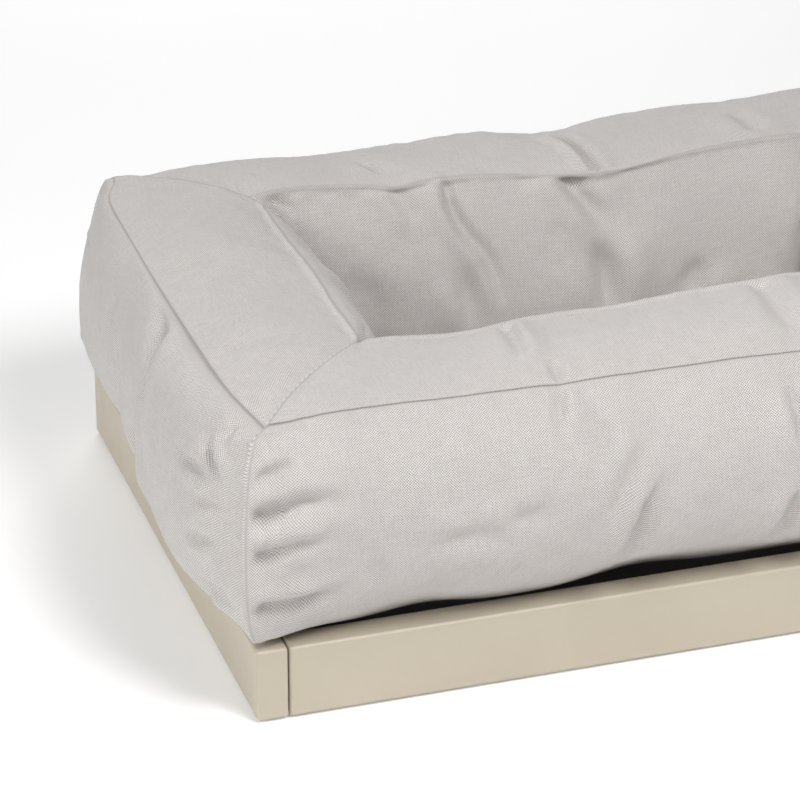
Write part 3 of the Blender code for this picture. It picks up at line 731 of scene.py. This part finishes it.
def seam_distance(side, panel, t, v):
    """(distance to the nearest seam, place along that seam, how clearly its line shows)."""
    name, length = side[0], side[3]
    along, down = cloth_place(side, panel, t, v)
    inset = panel_inset(panel, v)
    to_corner = np.minimum(t, 1 - t) * (length - 2 * inset)
    corner_line = MITRE_LINE
    if panel == "top":
        to_corner = to_corner * math.sqrt(0.5)
        nearer_outer = down < TOP_CUT / 2
        to_row = np.minimum(down, TOP_CUT - down)
        row_line = np.where(nearer_outer, SEAM_LINES[name, "outer"], SEAM_LINES[name, "inner"])
    elif panel == "outer":
        to_row, row_line, corner_line = OUTER_CUT - down, SEAM_LINES[name, "outer"], UPRIGHT_LINE
    elif panel == "inner":
        to_row, row_line = down, SEAM_LINES[name, "inner"]
    else:
        to_row = to_corner = 1 + 0 * along
        row_line = 0
    by_row = to_row < to_corner
    return (
        np.minimum(to_row, to_corner),
        np.where(by_row, along, down + 0 * along),
        np.where(by_row, row_line, corner_line),
    )


# The seams and the cloth beside them. The puckers lie in a band (middle, spread) beside a seam, and the
# hem is the seam's doubled cloth.
OUTER_GROOVE, INNER_RIDGE = (0.0006, 0.0010), (0.0026, 0.0021)  # depth or height, spread
RIDGE_PART = 0.9  # how far across the top panel the inner seam's ridge begins
SEAM_START = 0.012  # how far from a corner the groove and the ridge reach their full size
FOLD_HELD = 0.007  # how close to a seam the folds are held back
PUCKER_DEPTH, PUCKER_SIZE, PUCKER_BAND = 0.0011, 0.011, (0.006, 0.008)
HEM_HEIGHT, HEM_WIDTH, HEM_EDGE = 0.0003, 0.0055, 0.0025

# The unevenness of the filling: height and size of its lumps, and the seed of their noise.
LUMPS = ((0.0024, 0.085, 1), (0.0009, 0.034, 2))
PUCKER_SEED = 3

# Heights over which the details fade: above the boards outside, and above the bed's floor inside.
OUTSIDE_FADE, INSIDE_FADE = 0.010, 0.030


def seam_groove(side, panel, t, v, gap):
    """The outer seams lie in a groove, the inner seams stand up as a ridge, the mitres lie flat."""
    near_inner = (panel == "inner") | ((panel == "top") & (v > RIDGE_PART))
    away_from_corner = smooth(np.minimum(t, 1 - t) * side[3] / SEAM_START)
    height, spread = INNER_RIDGE
    ridge = -height * bell(gap, 0, spread)
    deepest, spread = OUTER_GROOVE
    groove = deepest * bell(gap, 0, spread)
    return np.where(near_inner, ridge, groove) * away_from_corner


def press_in(grid, layout, folds):
    """The ring with its folds, puckers, seams and the unevenness of its filling."""
    columns, rows = layout
    normal = grid_normals(grid)
    depth = np.zeros(grid.shape[:2])
    fade = np.ones(grid.shape[:2])
    lumps = sum(height * lumpiness(grid, size, seed) for height, size, seed in LUMPS)
    pucker = lumpiness(grid, PUCKER_SIZE, PUCKER_SEED)
    for side, panel, across, down in grid_blocks(layout):
        name, (x, y), direction = side[:3]
        block = grid[across, down]
        along = block[..., 0] - LEFT if direction[0] else block[..., 1] - FRONT
        below = down_from_seam(grid, panel, across, down)
        t, v = columns[name][:-1, None], rows[panel][None, :-1]
        gap = seam_distance(side, panel, t, v)[0]
        held = smooth(gap / FOLD_HELD)
        for fold in folds:
            if fold[:2] == (name, panel):
                depth[across, down] += held * fold_depth(along, below, fold)
        if panel == "sole":
            fade[across, down] = 0
            continue
        puckering = PUCKER_DEPTH * pucker[across, down] * bell(gap, *PUCKER_BAND)
        hems = HEM_HEIGHT * smooth((HEM_WIDTH - gap) / HEM_EDGE)
        groove = seam_groove(side, panel, t, v, gap)
        depth[across, down] += puckering + groove - hems
    tucked = smooth((grid[..., 2] - BOARD_TOP) / OUTSIDE_FADE)
    outside = np.arange(grid.shape[1]) < len(rows["outer"]) - 1
    low = smooth((grid[..., 2] - BED_FLOOR - HELD_HEIGHT) / INSIDE_FADE)
    fade *= np.where(outside[None, :], tucked, low)
    return grid - normal * ((depth - lumps) * fade)[..., None]


# Low cloth less than MOVED_IN over a board, or more than MOVED_IN_BELOW under its top, moves inwards.
# Other low cloth moves up onto the board.
MOVED_IN, MOVED_IN_BELOW = 0.0085, 0.008

# The flat strip behind the zip's tapes: its gap to them, how far past their ends, below and above them
# it reaches, how it fades there, and the place on Y beyond which the cloth is the back's.
TAPE_GAP = 0.0016
TAPE_ENDS, TAPE_BELOW, TAPE_ABOVE = (0.022, 0.020), (0.006, 0.004), (0.007, 0.006)
BACK_CLOTH = 0.2


def kept_clear(grid):
    """The ring kept off the boards, the floor of the bed, the pad and the zip's tapes."""
    x, y, z = grid[..., 0], grid[..., 1], grid[..., 2]
    margin = BOARD_THICKNESS + CLEARANCE
    over_x = np.maximum(LEFT + margin - x, x - (RIGHT - margin))
    over_y = np.maximum(FRONT + margin - y, y - (BACK - margin))
    over = np.maximum(over_x, over_y)
    low = (z < BOARD_TOP + CLEARANCE) & (over > 0)
    inwards = low & ((over < MOVED_IN) | (z < BOARD_TOP - MOVED_IN_BELOW))
    x = np.where(inwards & (over_x > 0), np.clip(x, LEFT + margin, RIGHT - margin), x)
    y = np.where(inwards & (over_y > 0), np.clip(y, FRONT + margin, BACK - margin), y)
    z = np.where(low & ~inwards, BOARD_TOP + CLEARANCE, z)
    z = np.maximum(z, BED_FLOOR)
    # the pad
    reach_x, reach_y = (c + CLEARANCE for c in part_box("pad_cover")[1][:2])
    beside = (np.abs(x) < reach_x) & (np.abs(y) < reach_y) & (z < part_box("pad_cover")[1].z)
    push_x = beside & (reach_x - np.abs(x) < reach_y - np.abs(y))
    x = np.where(push_x, np.sign(x) * reach_x, x)
    y = np.where(beside & ~push_x, np.sign(y) * reach_y, y)
    # the zip's tapes lie on a flat strip of the back
    low_tape, high_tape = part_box("zip_tape_lower"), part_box("zip_tape_upper")
    rise = (high_tape[1].y - low_tape[0].y) / (high_tape[1].z - low_tape[0].z)
    strip = low_tape[0].y + rise * (z - low_tape[0].z) - TAPE_GAP
    beside = smooth((high_tape[1].x + TAPE_ENDS[0] - np.abs(x)) / TAPE_ENDS[1]) * (y > BACK_CLOTH)
    flat = smooth((z - low_tape[0].z + TAPE_BELOW[0]) / TAPE_BELOW[1])
    flat = flat * smooth((high_tape[1].z + TAPE_ABOVE[0] - z) / TAPE_ABOVE[1])
    y = blend(y, np.where(flat > 0, strip, y), beside * flat)
    under = (z < low_tape[0].z) & (y > strip) & (beside > 0)
    y = np.where(under, blend(y, strip, beside), y)
    return np.stack([x, y, z], -1)


def thread_places(grid, side, across, down):
    """(along, down) in metres on the panel's cloth, at every corner of its cells."""
    block = closed_block(grid, across, down)
    walked = walked_down(block)
    if down.start == 0:
        walked = walked - walked[:, -1:]  # the outer panel hangs from its upper seam
    return np.stack([block[..., 0] if side[2][0] else block[..., 1], walked], -1)


def mark(obj, weave, **values):
    """Attributes that the canvas reads: a place on the cut cloth for each face corner, and numbers."""
    for name, numbers in values.items():
        attribute = obj.data.attributes.new(name, "FLOAT", "POINT")
        attribute.data.foreach_set("value", numbers.ravel().astype(np.float32))
    attribute = obj.data.attributes.new("weave", "FLOAT_VECTOR", "CORNER")
    attribute.data.foreach_set("vector", weave.ravel().astype(np.float32))


# The cover's foot gets painted shade, near black, up to the first height below over the boards' top, and
# it fades over the last stretch of it, as long as the second. It stands in for the shade in the gap
# between the cloth and the boards.
GAP_SHADE_REACH, GAP_SHADE_EDGE = 0.0035, 0.0015
FILL_STEP = 4  # of the cover's cells to one of a fill's


def bolster_cover():
    """The sewn cover of the whole ring as one closed mesh, and the ring without its folds."""
    folds = FOLDS + corner_gathers()
    rough, fine = sim_layout(), end_layout(folds)
    full = refined(sewn_ring(rough), rough, fine)
    full += ring_grid(fine, sagging=True) - ring_grid(fine)
    grid = kept_clear(press_in(full, fine, folds))
    obj = mesh_of_grid("bolster_cover_sewn", grid)
    columns, rows = fine
    gaps, runs, lines = np.zeros((3,) + grid.shape[:2])
    weave = np.zeros(grid.shape[:2] + (4, 3))
    for side, panel, across, down in grid_blocks(fine):
        t, v = columns[side[0]][:-1, None], rows[panel][None, :-1]
        gaps[across, down], runs[across, down], lines[across, down] = seam_distance(side, panel, t, v)
        threads = thread_places(full, side, across, down)
        ends = (slice(None, -1), slice(1, None))
        for corner, (a, b) in enumerate(((0, 0), (1, 0), (1, 1), (0, 1))):
            weave[across, down, corner, :2] = threads[ends[a], ends[b]]
    # painted shade: the cloth that lies low beside the boards is darkened for the shaded gap there
    foot = smooth((BOARD_TOP + GAP_SHADE_REACH - grid[..., 2]) / GAP_SHADE_EDGE)
    mark(obj, weave, seam=gaps, run=runs, line=lines, foot=foot)
    return obj, kept_clear(full)


def bolster_fill(name, grid, across):
    """The fibre filling of one side: the unfolded cover drawn in, closed at both mitres."""
    inner = grid - FILL_PLAY * grid_normals(grid)
    picked = np.arange(across.start + FILL_STEP, across.stop - FILL_STEP + 1, FILL_STEP)
    block = inner[picked][:, ::FILL_STEP]
    columns, rows = block.shape[:2]
    index = np.arange(columns * rows).reshape(columns, rows)
    here, there = index[:-1], index[1:]
    faces = np.stack([here, there, np.roll(there, -1, 1), np.roll(here, -1, 1)], -1)
    faces = faces.reshape(-1, 4).tolist()
    points = block.reshape(-1, 3).tolist()
    for column, flip in ((0, False), (columns - 1, True)):
        centre = len(points)
        points.append(block[column].mean(0).tolist())
        for row in range(rows):
            edge = [int(index[column, (row + 1) % rows]), int(index[column, row])]
            faces.append(edge + [centre] if not flip else edge[::-1] + [centre])
    return new_mesh(name, points, faces)


# The pad in the well and its foam, as a box of quads: corners at -1 and 1, height from 0 to 1

PAD_CELLS = (96, 50, 12)
PAD_CROWDING = 0.55
PAD_EDGE_HEIGHT, PAD_CROWN = 0.041, 0.007  # its upper seam above its underside, its middle above that
FOAM_EDGE_HEIGHT, FOAM_CROWN = PAD_EDGE_HEIGHT - 0.009, 0.002
PAD_GAP, FOAM_GAP = 0.004, 0.011  # how much smaller than the CAD pad they are at each side
PAD_LIFT, GAP_BELOW = CLEARANCE / 5, 0.3  # over the CAD pad's underside, and the gap's share there
PAD_DRAW = 0.004  # how far the sides pull in between the corners
PAD_BELLY = 0.004  # how far the boxing swells halfway up
PAD_PUFF = 0.45  # the lower, the flatter the crown
PAD_END_ROUNDING, PAD_SIDE_ROUNDING = 0.035, 0.070  # of the corners, at the ends and at the long sides
PAD_CUT = (1.012, 1.012, 1.06)  # the cut cloth against the sewn pad
PAD_FRAMES, PAD_PRESSURE = 12, 3.0
# Lumps and puckers are (height, size, seed), the band beside the seam where puckers lie is (middle,
# spread), the seam is (depth, spread), and the hem beside it is (height, width, edge).
PAD_LUMPS, PAD_PUCKERS, PAD_PUCKER_BAND = (0.0016, 0.060, 4), (0.0008, 0.010, 5), (0.006, 0.007)
PAD_SEAM, PAD_HEM = (0.0012, 0.0016), (0.0006, 0.006, 0.003)
PAD_FADE = 0.25  # share of the pad's height over which its details fade towards its underside


def lattice_box(counts):
    """(lattice points, quads, axis that each quad faces) of a box's surface."""
    index, faces, axes = {}, [], []
    for axis in range(3):
        u, w = (axis + 1) % 3, (axis + 2) % 3
        for end in (0, counts[axis]):
            for i in range(counts[u]):
                for j in range(counts[w]):
                    quad = []
                    for di, dj in ((0, 0), (1, 0), (1, 1), (0, 1)):
                        point = [0, 0, 0]
                        point[axis], point[u], point[w] = end, i + di, j + dj
                        quad.append(index.setdefault(tuple(point), len(index)))
                    faces.append(quad if end else quad[::-1])
                    axes.append(axis)
    return np.array(list(index)), np.array(faces), np.array(axes)


def pad_form(lattice, gap, edge_height, crown):
    """Points of a boxed pad gap smaller than the CAD pad: sides drawn in, corners rounded."""
    low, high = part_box("pad_cover")
    a, b, c = (crowded(n, PAD_CROWDING)[lattice[:, i]] for i, n in enumerate(PAD_CELLS))
    a, b = a * 2 - 1, b * 2 - 1
    half_x, half_y = high.x - gap, high.y - gap
    draw_x, draw_y = PAD_DRAW * (1 - b**2) ** 2, PAD_DRAW * (1 - a**2) ** 2
    x = a * np.sqrt(1 - PAD_END_ROUNDING * b**6) * (half_x - draw_x)
    y = b * np.sqrt(1 - PAD_SIDE_ROUNDING * a**6) * (half_y - draw_y)
    belly = PAD_BELLY * np.sin(np.pi * c)
    x += belly * np.sign(a) * np.abs(a) ** 12
    y += belly * np.sign(b) * np.abs(b) ** 12
    puff = ((1 - a**2) * (1 - b**2)) ** PAD_PUFF
    z = low.z + PAD_LIFT + gap * GAP_BELOW + c * (edge_height + crown * puff)
    return np.stack([x, y, z], -1), (a, b, c)


def pad_cover():
    lattice, faces, axes = lattice_box(PAD_CELLS)
    points, (a, b, c) = pad_form(lattice, PAD_GAP, PAD_EDGE_HEIGHT, PAD_CROWN)
    rim = (np.abs(a) > 0.999).astype(int) + (np.abs(b) > 0.999) + (c > 0.999) + (c < 0.001)
    seams = rim >= 2
    middle = points.mean(0)
    cut = middle + (points - middle) * PAD_CUT
    obj = new_mesh("cloth", points.tolist(), faces.tolist())
    points = inflate(obj, cut, seams | (c < 0.001), PAD_FRAMES, PAD_PRESSURE)
    low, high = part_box("pad_cover")
    size = np.array((high.x - low.x, high.y - low.y, PAD_EDGE_HEIGHT))
    places_now = np.stack([(a + 1) / 2, (b + 1) / 2, c], -1) * size
    to_end = np.minimum(places_now, size - places_now)
    to_end = np.sort(to_end, axis=1)[:, 1]  # the first is the face's own plane
    lumps, pucker = (
        height * lumpiness(points[:, None], size, seed)[:, 0]
        for height, size, seed in (PAD_LUMPS, PAD_PUCKERS)
    )
    pucker = pucker * bell(to_end, *PAD_PUCKER_BAND)
    hem_height, hem_width, hem_edge = PAD_HEM
    hem = hem_height * smooth((hem_width - to_end) / hem_edge)
    seam = PAD_SEAM[0] * bell(to_end, 0, PAD_SEAM[1]) - hem
    obj = new_mesh("pad_cover_sewn", points.tolist(), faces.tolist())
    normal = np.zeros(len(points) * 3, np.float32)
    obj.data.vertices.foreach_get("normal", normal)
    moved = (pucker + seam - lumps) * smooth(c / PAD_FADE)
    points = points - normal.reshape(-1, 3) * moved[:, None]
    points[:, 2] = np.maximum(points[:, 2], low.z + PAD_LIFT)
    obj.data.vertices.foreach_set("co", points.ravel().astype(np.float32))
    weave = np.zeros((len(faces), 4, 3))
    for axis in range(3):
        of_axis = axes == axis
        u, w = ((1, 2), (0, 2), (0, 1))[axis]
        weave[of_axis, :, 0] = places_now[faces[of_axis]][:, :, u]
        weave[of_axis, :, 1] = places_now[faces[of_axis]][:, :, w]
    run = places_now[:, 0] + places_now[:, 1]
    # no painted shade on the pad's foot
    mark(obj, weave, seam=to_end, run=run, line=0 * run + UPRIGHT_LINE, foot=0 * run)
    return obj


def pad_foam():
    lattice, faces, _ = lattice_box(PAD_CELLS)
    points, _ = pad_form(lattice, FOAM_GAP, FOAM_EDGE_HEIGHT, FOAM_CROWN)
    return new_mesh("pad_foam_block", points.tolist(), faces.tolist())


# Camera, light and floor

CAMERA_PLACE = (-1.0185, -2.6110, 1.4835)
CAMERA_AZIMUTH = math.radians(17.82)  # turned to the right from straight ahead
CAMERA_DROP = math.radians(26.39)
CAMERA_LENS = 169.155

MIDDLE = (0, 0, 0.12)
LIGHTS = (
    # name, place, target, diameter, watts
    ("key", (0.25, -1.2, 1.8), MIDDLE, 0.8, 29.5),
    ("left_box", (-1.8, -1.9, 1.6), MIDDLE, 1.2, 20.5),
    ("side_box", (-2.2, 0, 1.1), MIDDLE, 1.2, 15.5),
    ("back_box", (0.6, 3.5, 2.3), (0.8, 3.4, 0), 2.6, 90),
)
WORLD_STRENGTH, FLOOR_GLOW = 0.12, 0.13
FLOOR_SIZE = 40
FLOOR_TONES = (0.94, 0.94, 0.94), (0.97, 0.97, 0.97)


def camera():
    data = bpy.data.cameras.new("camera")
    data.lens = CAMERA_LENS
    data.sensor_width = 36
    obj = new_object("camera", data)
    ahead = Vector(
        (
            math.sin(CAMERA_AZIMUTH) * math.cos(CAMERA_DROP),
            math.cos(CAMERA_AZIMUTH) * math.cos(CAMERA_DROP),
            -math.sin(CAMERA_DROP),
        )
    )
    obj.location = CAMERA_PLACE
    obj.rotation_euler = ahead.to_track_quat("-Z", "Y").to_euler()
    bpy.context.scene.camera = obj


def area_light(name, place, target, size, power):
    data = bpy.data.lights.new(name, "AREA")
    data.shape = "DISK"
    data.size = size
    data.energy = power
    obj = new_object(name, data)
    obj.location = place
    obj.rotation_euler = (Vector(target) - Vector(place)).to_track_quat("-Z", "Y").to_euler()


def studio():
    world = bpy.data.worlds.new("studio")
    bpy.context.scene.world = world
    world.use_nodes = True
    background = world.node_tree.nodes["Background"]
    background.inputs["Color"].default_value = (1.0, 1.0, 1.0, 1.0)
    background.inputs["Strength"].default_value = WORLD_STRENGTH
    for light in LIGHTS:
        area_light(*light)
    bpy.context.scene.view_settings.view_transform = "Standard"
    bpy.ops.mesh.primitive_plane_add(size=FLOOR_SIZE)
    floor = bpy.context.object
    floor.name = "floor"
    look = Look("floor_paint", 0.7, glow_colour=(1.0, 1.0, 1.0), glow=FLOOR_GLOW)
    look.colour(look.mix(look.noise(look.place(), 3), *FLOOR_TONES))
    floor.data.materials.append(look.material)


# Materials


SHADING = {
    "sheen": "Sheen Weight",
    "sheen_roughness": "Sheen Roughness",
    "specular": "Specular IOR Level",
    "glow_colour": "Emission Color",
    "glow": "Emission Strength",
}


class Look:
    """A node material being put together."""

    def __init__(self, name, roughness, metallic=0.0, **shading):
        self.material = bpy.data.materials.new(name)
        self.material.use_nodes = True
        self.tree = self.material.node_tree
        self.shader = self.tree.nodes["Principled BSDF"]
        self.shade("Roughness", roughness)
        self.shade("Metallic", metallic)
        for name, value in shading.items():
            self.shade(SHADING[name], value)

    def shade(self, name, value):
        self.put(value, self.shader.inputs[name])

    def node(self, kind, inputs=None, **fields):
        """The outputs of a new node, with its fields set and its inputs filled."""
        made = self.tree.nodes.new(kind)
        for name, value in fields.items():
            setattr(made, name, value)
        for name, value in (inputs or {}).items():
            self.put(value, made.inputs[name])
        return made.outputs

    def put(self, value, socket):
        """A number, a colour or another node's output goes into a socket."""
        if isinstance(value, bpy.types.NodeSocket):
            self.tree.links.new(value, socket)
        elif isinstance(value, tuple) and len(value) == 3 and socket.type == "RGBA":
            socket.default_value = (*value, 1.0)
        else:
            socket.default_value = value

    def maths(self, operation, *values):
        return self.node("ShaderNodeMath", dict(enumerate(values)), operation=operation)[0]

    def between(self, value, low, high):
        """0 where value is at low, 1 at high, smooth in between."""
        inputs = {"Value": value, "From Min": low, "From Max": high}
        return self.node("ShaderNodeMapRange", inputs, interpolation_type="SMOOTHSTEP")["Result"]

    def place(self):
        """Metres in the row frame."""
        return self.node("ShaderNodeTexCoord")["Object"]

    def attribute(self, name, output="Fac"):
        return self.node("ShaderNodeAttribute", attribute_name=name)[output]

    def split(self, vector):
        return self.node("ShaderNodeSeparateXYZ", {0: vector})

    def stretched(self, vector, scale):
        return self.node("ShaderNodeMapping", {"Vector": vector, "Scale": scale})[0]

    def noise(self, vector, scale, detail=2.0, rough=0.5):
        inputs = {"Vector": vector, "Scale": scale, "Detail": detail, "Roughness": rough}
        return self.node("ShaderNodeTexNoise", inputs)["Fac"]

    def cells(self, vector, scale):
        return self.node("ShaderNodeTexVoronoi", {"Vector": vector, "Scale": scale})["Distance"]

    def mix(self, share, low, high):
        return self.node("ShaderNodeMix", {0: share, 6: low, 7: high}, data_type="RGBA")[2]

    def wave(self, value, period):
        """A sine with that period, from -1 to 1."""
        return self.maths("SINE", self.maths("MULTIPLY", value, 2 * math.pi / period))

    def colour(self, value):
        self.shade("Base Color", value)

    def tones(self, value, low, high, colour_low, colour_high):
        """One colour where value is at low, and the other where it is at high."""
        self.colour(self.mix(self.between(value, low, high), colour_low, colour_high))

    def rough(self, share, low, high):
        inputs = {"Value": share, "To Min": low, "To Max": high}
        self.shade("Roughness", self.node("ShaderNodeMapRange", inputs)["Result"])

    def bump(self, height, distance, under=None):
        inputs = {"Distance": distance, "Height": height}
        if under:
            inputs["Normal"] = under
        normal = self.node("ShaderNodeBump", inputs)[0]
        self.shade("Normal", normal)
        return normal


THREAD = 0.00106  # from one thread of the canvas to the next
CALM_TONE = 0.40  # what the weave's tone calms down to beside a seam
STITCH = 0.0034  # from one stitch to the next
# the second colour is painted shade for the cover's foot, in the shaded gap beside the boards
SEAM_COLOUR, GAP_SHADE_COLOUR = (0.13, 0.115, 0.105), (0.035, 0.032, 0.030)
SHADE_COLOUR = (0.30, 0.27, 0.25)  # of the cloudy patches


def canvas(name, light, dark):
    """Plain canvas whose threads follow the panel, with drawn-in seams and painted shade on its foot."""
    look = Look(name, 0.9, sheen=0.25, sheen_roughness=0.45, specular=0.25)
    weave = look.attribute("weave", "Vector")
    wander = look.maths("MULTIPLY", look.noise(weave, 160, 2), THREAD * 0.9)
    across, along, _ = look.split(weave)
    # threads that go over and under, uneven with slubs both ways
    warp = look.wave(look.maths("ADD", across, wander), 2 * THREAD)
    weft = look.wave(look.maths("ADD", along, wander), 2 * THREAD)
    over = look.maths("MULTIPLY_ADD", look.maths("MULTIPLY", warp, weft), 0.5, 0.5)
    slubs = look.noise(look.stretched(weave, (900, 60, 1)), 1, 2)
    slubs = look.maths("ADD", slubs, look.noise(look.stretched(weave, (60, 900, 1)), 1, 2))
    thread = look.maths("MULTIPLY_ADD", slubs, 0.18, look.maths("MULTIPLY_ADD", over, 0.75, -0.08))
    thread = look.between(thread, 0.05, 0.85)
    # beside a seam the weave calms down
    calm = look.between(look.attribute("seam"), 0.0002, 0.0020)
    thread = look.maths("MULTIPLY_ADD", look.maths("SUBTRACT", thread, CALM_TONE), calm, CALM_TONE)
    body = look.mix(thread, dark, light)
    cloudy = look.noise(look.place(), 14, 3, 0.6)
    body = look.mix(look.between(cloudy, 0.3, 0.75), body, look.mix(0.07, body, SHADE_COLOUR))
    # the line of stitches in the seam, then the foot
    stitch = look.maths("MULTIPLY_ADD", look.wave(look.attribute("run"), STITCH), 0.10, 0.90)
    line = look.maths("MULTIPLY", look.between(look.attribute("seam"), 0.0007, 0.0001), stitch)
    line = look.maths("MULTIPLY", line, look.attribute("line"))
    # the line of stitches in the seam, then the painted shade on the foot
    body = look.mix(line, body, SEAM_COLOUR)
    look.colour(look.mix(look.attribute("foot"), body, GAP_SHADE_COLOUR))
    soft = look.bump(look.noise(look.place(), 90, 3, 0.6), 0.0009)
    look.bump(thread, 0.00030, soft)
    return look.material


def frame_paint():
    look = Look("greige_paint", 0.42, specular=0.45)
    tone = look.noise(look.place(), 9, 3)
    look.tones(tone, 0.25, 0.75, (0.515, 0.458, 0.362), (0.545, 0.487, 0.388))
    roller = look.noise(look.place(), 520, 2)
    look.rough(look.noise(look.place(), 60, 3), 0.36, 0.47)
    wide = look.bump(look.noise(look.place(), 45, 2), 0.0002)
    look.bump(roller, 0.00005, wide)
    return look.material


def wood(name, light, dark, scale, roughness=0.6):
    """Straight grain along the axis with the smallest scale."""
    look = Look(name, roughness)
    grain = look.noise(look.stretched(look.place(), scale), 1, 5, 0.6)
    pores = look.noise(look.stretched(look.place(), tuple(s * 6 for s in scale)), 1, 2)
    share = look.maths("MULTIPLY_ADD", pores, 0.25, look.maths("MULTIPLY", grain, 0.9))
    look.tones(share, 0.3, 0.85, light, dark)
    look.rough(grain, roughness - 0.08, roughness + 0.08)
    look.bump(share, 0.0002)
    return look.material


def plywood():
    """Birch veneer, with the plies showing as stripes on the edges."""
    look = Look("birch_plywood", 0.6)
    grain = look.noise(look.stretched(look.place(), (5, 90, 90)), 1, 5, 0.6)
    face = look.mix(look.between(grain, 0.3, 0.8), (0.66, 0.52, 0.35), (0.52, 0.38, 0.24))
    plies = look.between(look.wave(look.split(look.place())[2], 0.0036), -0.4, 0.4)
    edge = look.mix(plies, (0.58, 0.44, 0.29), (0.36, 0.24, 0.15))
    upright = look.split(look.node("ShaderNodeNewGeometry")["Normal"])[2]
    look.colour(look.mix(look.between(look.maths("ABSOLUTE", upright), 0.3, 0.7), edge, face))
    look.bump(grain, 0.0002)
    return look.material


def metal(name, colour, low, high, scale=60):
    look = Look(name, low, 1.0)
    patches = look.noise(look.place(), scale, 3)
    darker = tuple(c * 0.82 for c in colour)
    look.tones(patches, 0.3, 0.7, colour, darker)
    look.rough(look.noise(look.place(), scale * 8, 2), low, high)
    look.bump(look.noise(look.place(), scale * 20, 2), 0.00003)
    return look.material


def fuzz(name, light, dark, scale, depth):
    """Felt or fibre: tangled fine noise."""
    look = Look(name, 0.95, sheen=0.3)
    tangle = look.noise(look.place(), scale, 6, 0.7)
    look.tones(tangle, 0.3, 0.7, dark, light)
    look.bump(tangle, depth)
    return look.material


def foam(name):
    look = Look(name, 0.9)
    pores = look.cells(look.place(), 900)
    look.tones(pores, 0.2, 0.6, (0.62, 0.56, 0.40), (0.74, 0.68, 0.52))
    look.bump(pores, 0.0004)
    return look.material


def woven(name, light, dark, pitch):
    """Plain cloth woven along X and Y."""
    look = Look(name, 0.85)
    x, y, _ = look.split(look.place())
    over = look.maths("MULTIPLY", look.wave(x, 2 * pitch), look.wave(y, 2 * pitch))
    tone = look.maths("MULTIPLY_ADD", look.noise(look.place(), 300, 2), 0.5, over)
    look.tones(tone, -0.6, 1.2, dark, light)
    look.bump(over, pitch * 0.25)
    return look.material


def tape():
    """Zip tape: fine ribs along X, and crosswise ridges where the coil is sewn on."""
    look = Look("zip_tape_weave", 0.75)
    x, _, z = look.split(look.place())
    ribs = look.wave(z, 0.0009)
    coil = look.wave(x, 0.0018)
    height = look.maths("ADD", look.maths("MULTIPLY", ribs, 0.4), look.maths("MULTIPLY", coil, 0.5))
    look.tones(height, -0.8, 0.8, (0.26, 0.24, 0.22), (0.40, 0.375, 0.35))
    look.bump(height, 0.0002)
    return look.material


def finish_nodes():
    """The CAD nodes that stay get materials by their slot."""
    greys = (0.62, 0.62, 0.60), (0.50, 0.50, 0.49)
    lengthwise = wood("pine_lengthwise", (0.70, 0.53, 0.34), (0.56, 0.37, 0.20), (7, 80, 80))
    crosswise = wood("pine_crosswise", (0.70, 0.53, 0.34), (0.56, 0.37, 0.20), (80, 7, 80))
    by_slot = {
        "frame_paint": frame_paint(),
        "dowel_beech": wood("beech", (0.66, 0.45, 0.30), (0.52, 0.33, 0.20), (12, 160, 160)),
        "batten_pine": lengthwise,
        "panel_plywood": plywood(),
        "bracket_steel": metal("zinc_plate", greys[0], 0.32, 0.50),
        "screw_steel": metal("zinc_screws", greys[1], 0.25, 0.42, 200),
        "glide_felt": fuzz("grey_felt", (0.34, 0.33, 0.32), (0.18, 0.175, 0.17), 900, 0.0006),
        "base_cloth": woven("base_weave", (0.30, 0.28, 0.27), (0.17, 0.16, 0.15), 0.0009),
        "zip_tape": tape(),
        "zip_nickel": metal("nickel", (0.66, 0.63, 0.58), 0.18, 0.32, 400),
    }
    for name, obj in NODES.items():
        for place in obj.material_slots:
            slot = place.material.name.split(".")[0]
            if slot in by_slot:
                runs_across = name in ("left_batten", "right_batten", "centre_rail")
                place.material = crosswise if runs_across else by_slot[slot]


def finish(piece, body, slot, material, *replaced):
    """What every new piece needs: its material, its body and the CAD nodes it stands for. The slot
    argument is not used.
    """
    piece.data.materials.clear()
    piece.data.materials.append(material)
    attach(piece, body)
    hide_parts(*replaced)
    return piece


def build():
    camera()
    studio()
    finish_nodes()
    cloth = canvas("warm_grey_canvas", (0.80, 0.765, 0.74), (0.30, 0.28, 0.265))
    cover, full = bolster_cover()
    finish(cover, "bolster_bed", "cover_twill", cloth, "bolster_cover")
    fibre = fuzz("white_fibre", (0.86, 0.86, 0.85), (0.66, 0.66, 0.66), 260, 0.002)
    for side, panel, across, _ in grid_blocks(end_layout(FOLDS + corner_gathers())):
        if panel == "outer":
            name = side[0] + "_bolster_fill"
            piece = bolster_fill(name + "_fibre", full, across)
            finish(piece, "bolster_bed", "fibre_fill", fibre, name)
    finish(pad_cover(), "pad", "cover_twill", cloth, "pad_cover")
    finish(pad_foam(), "pad", "pad_foam", foam("cut_foam"), "pad_foam")


build()
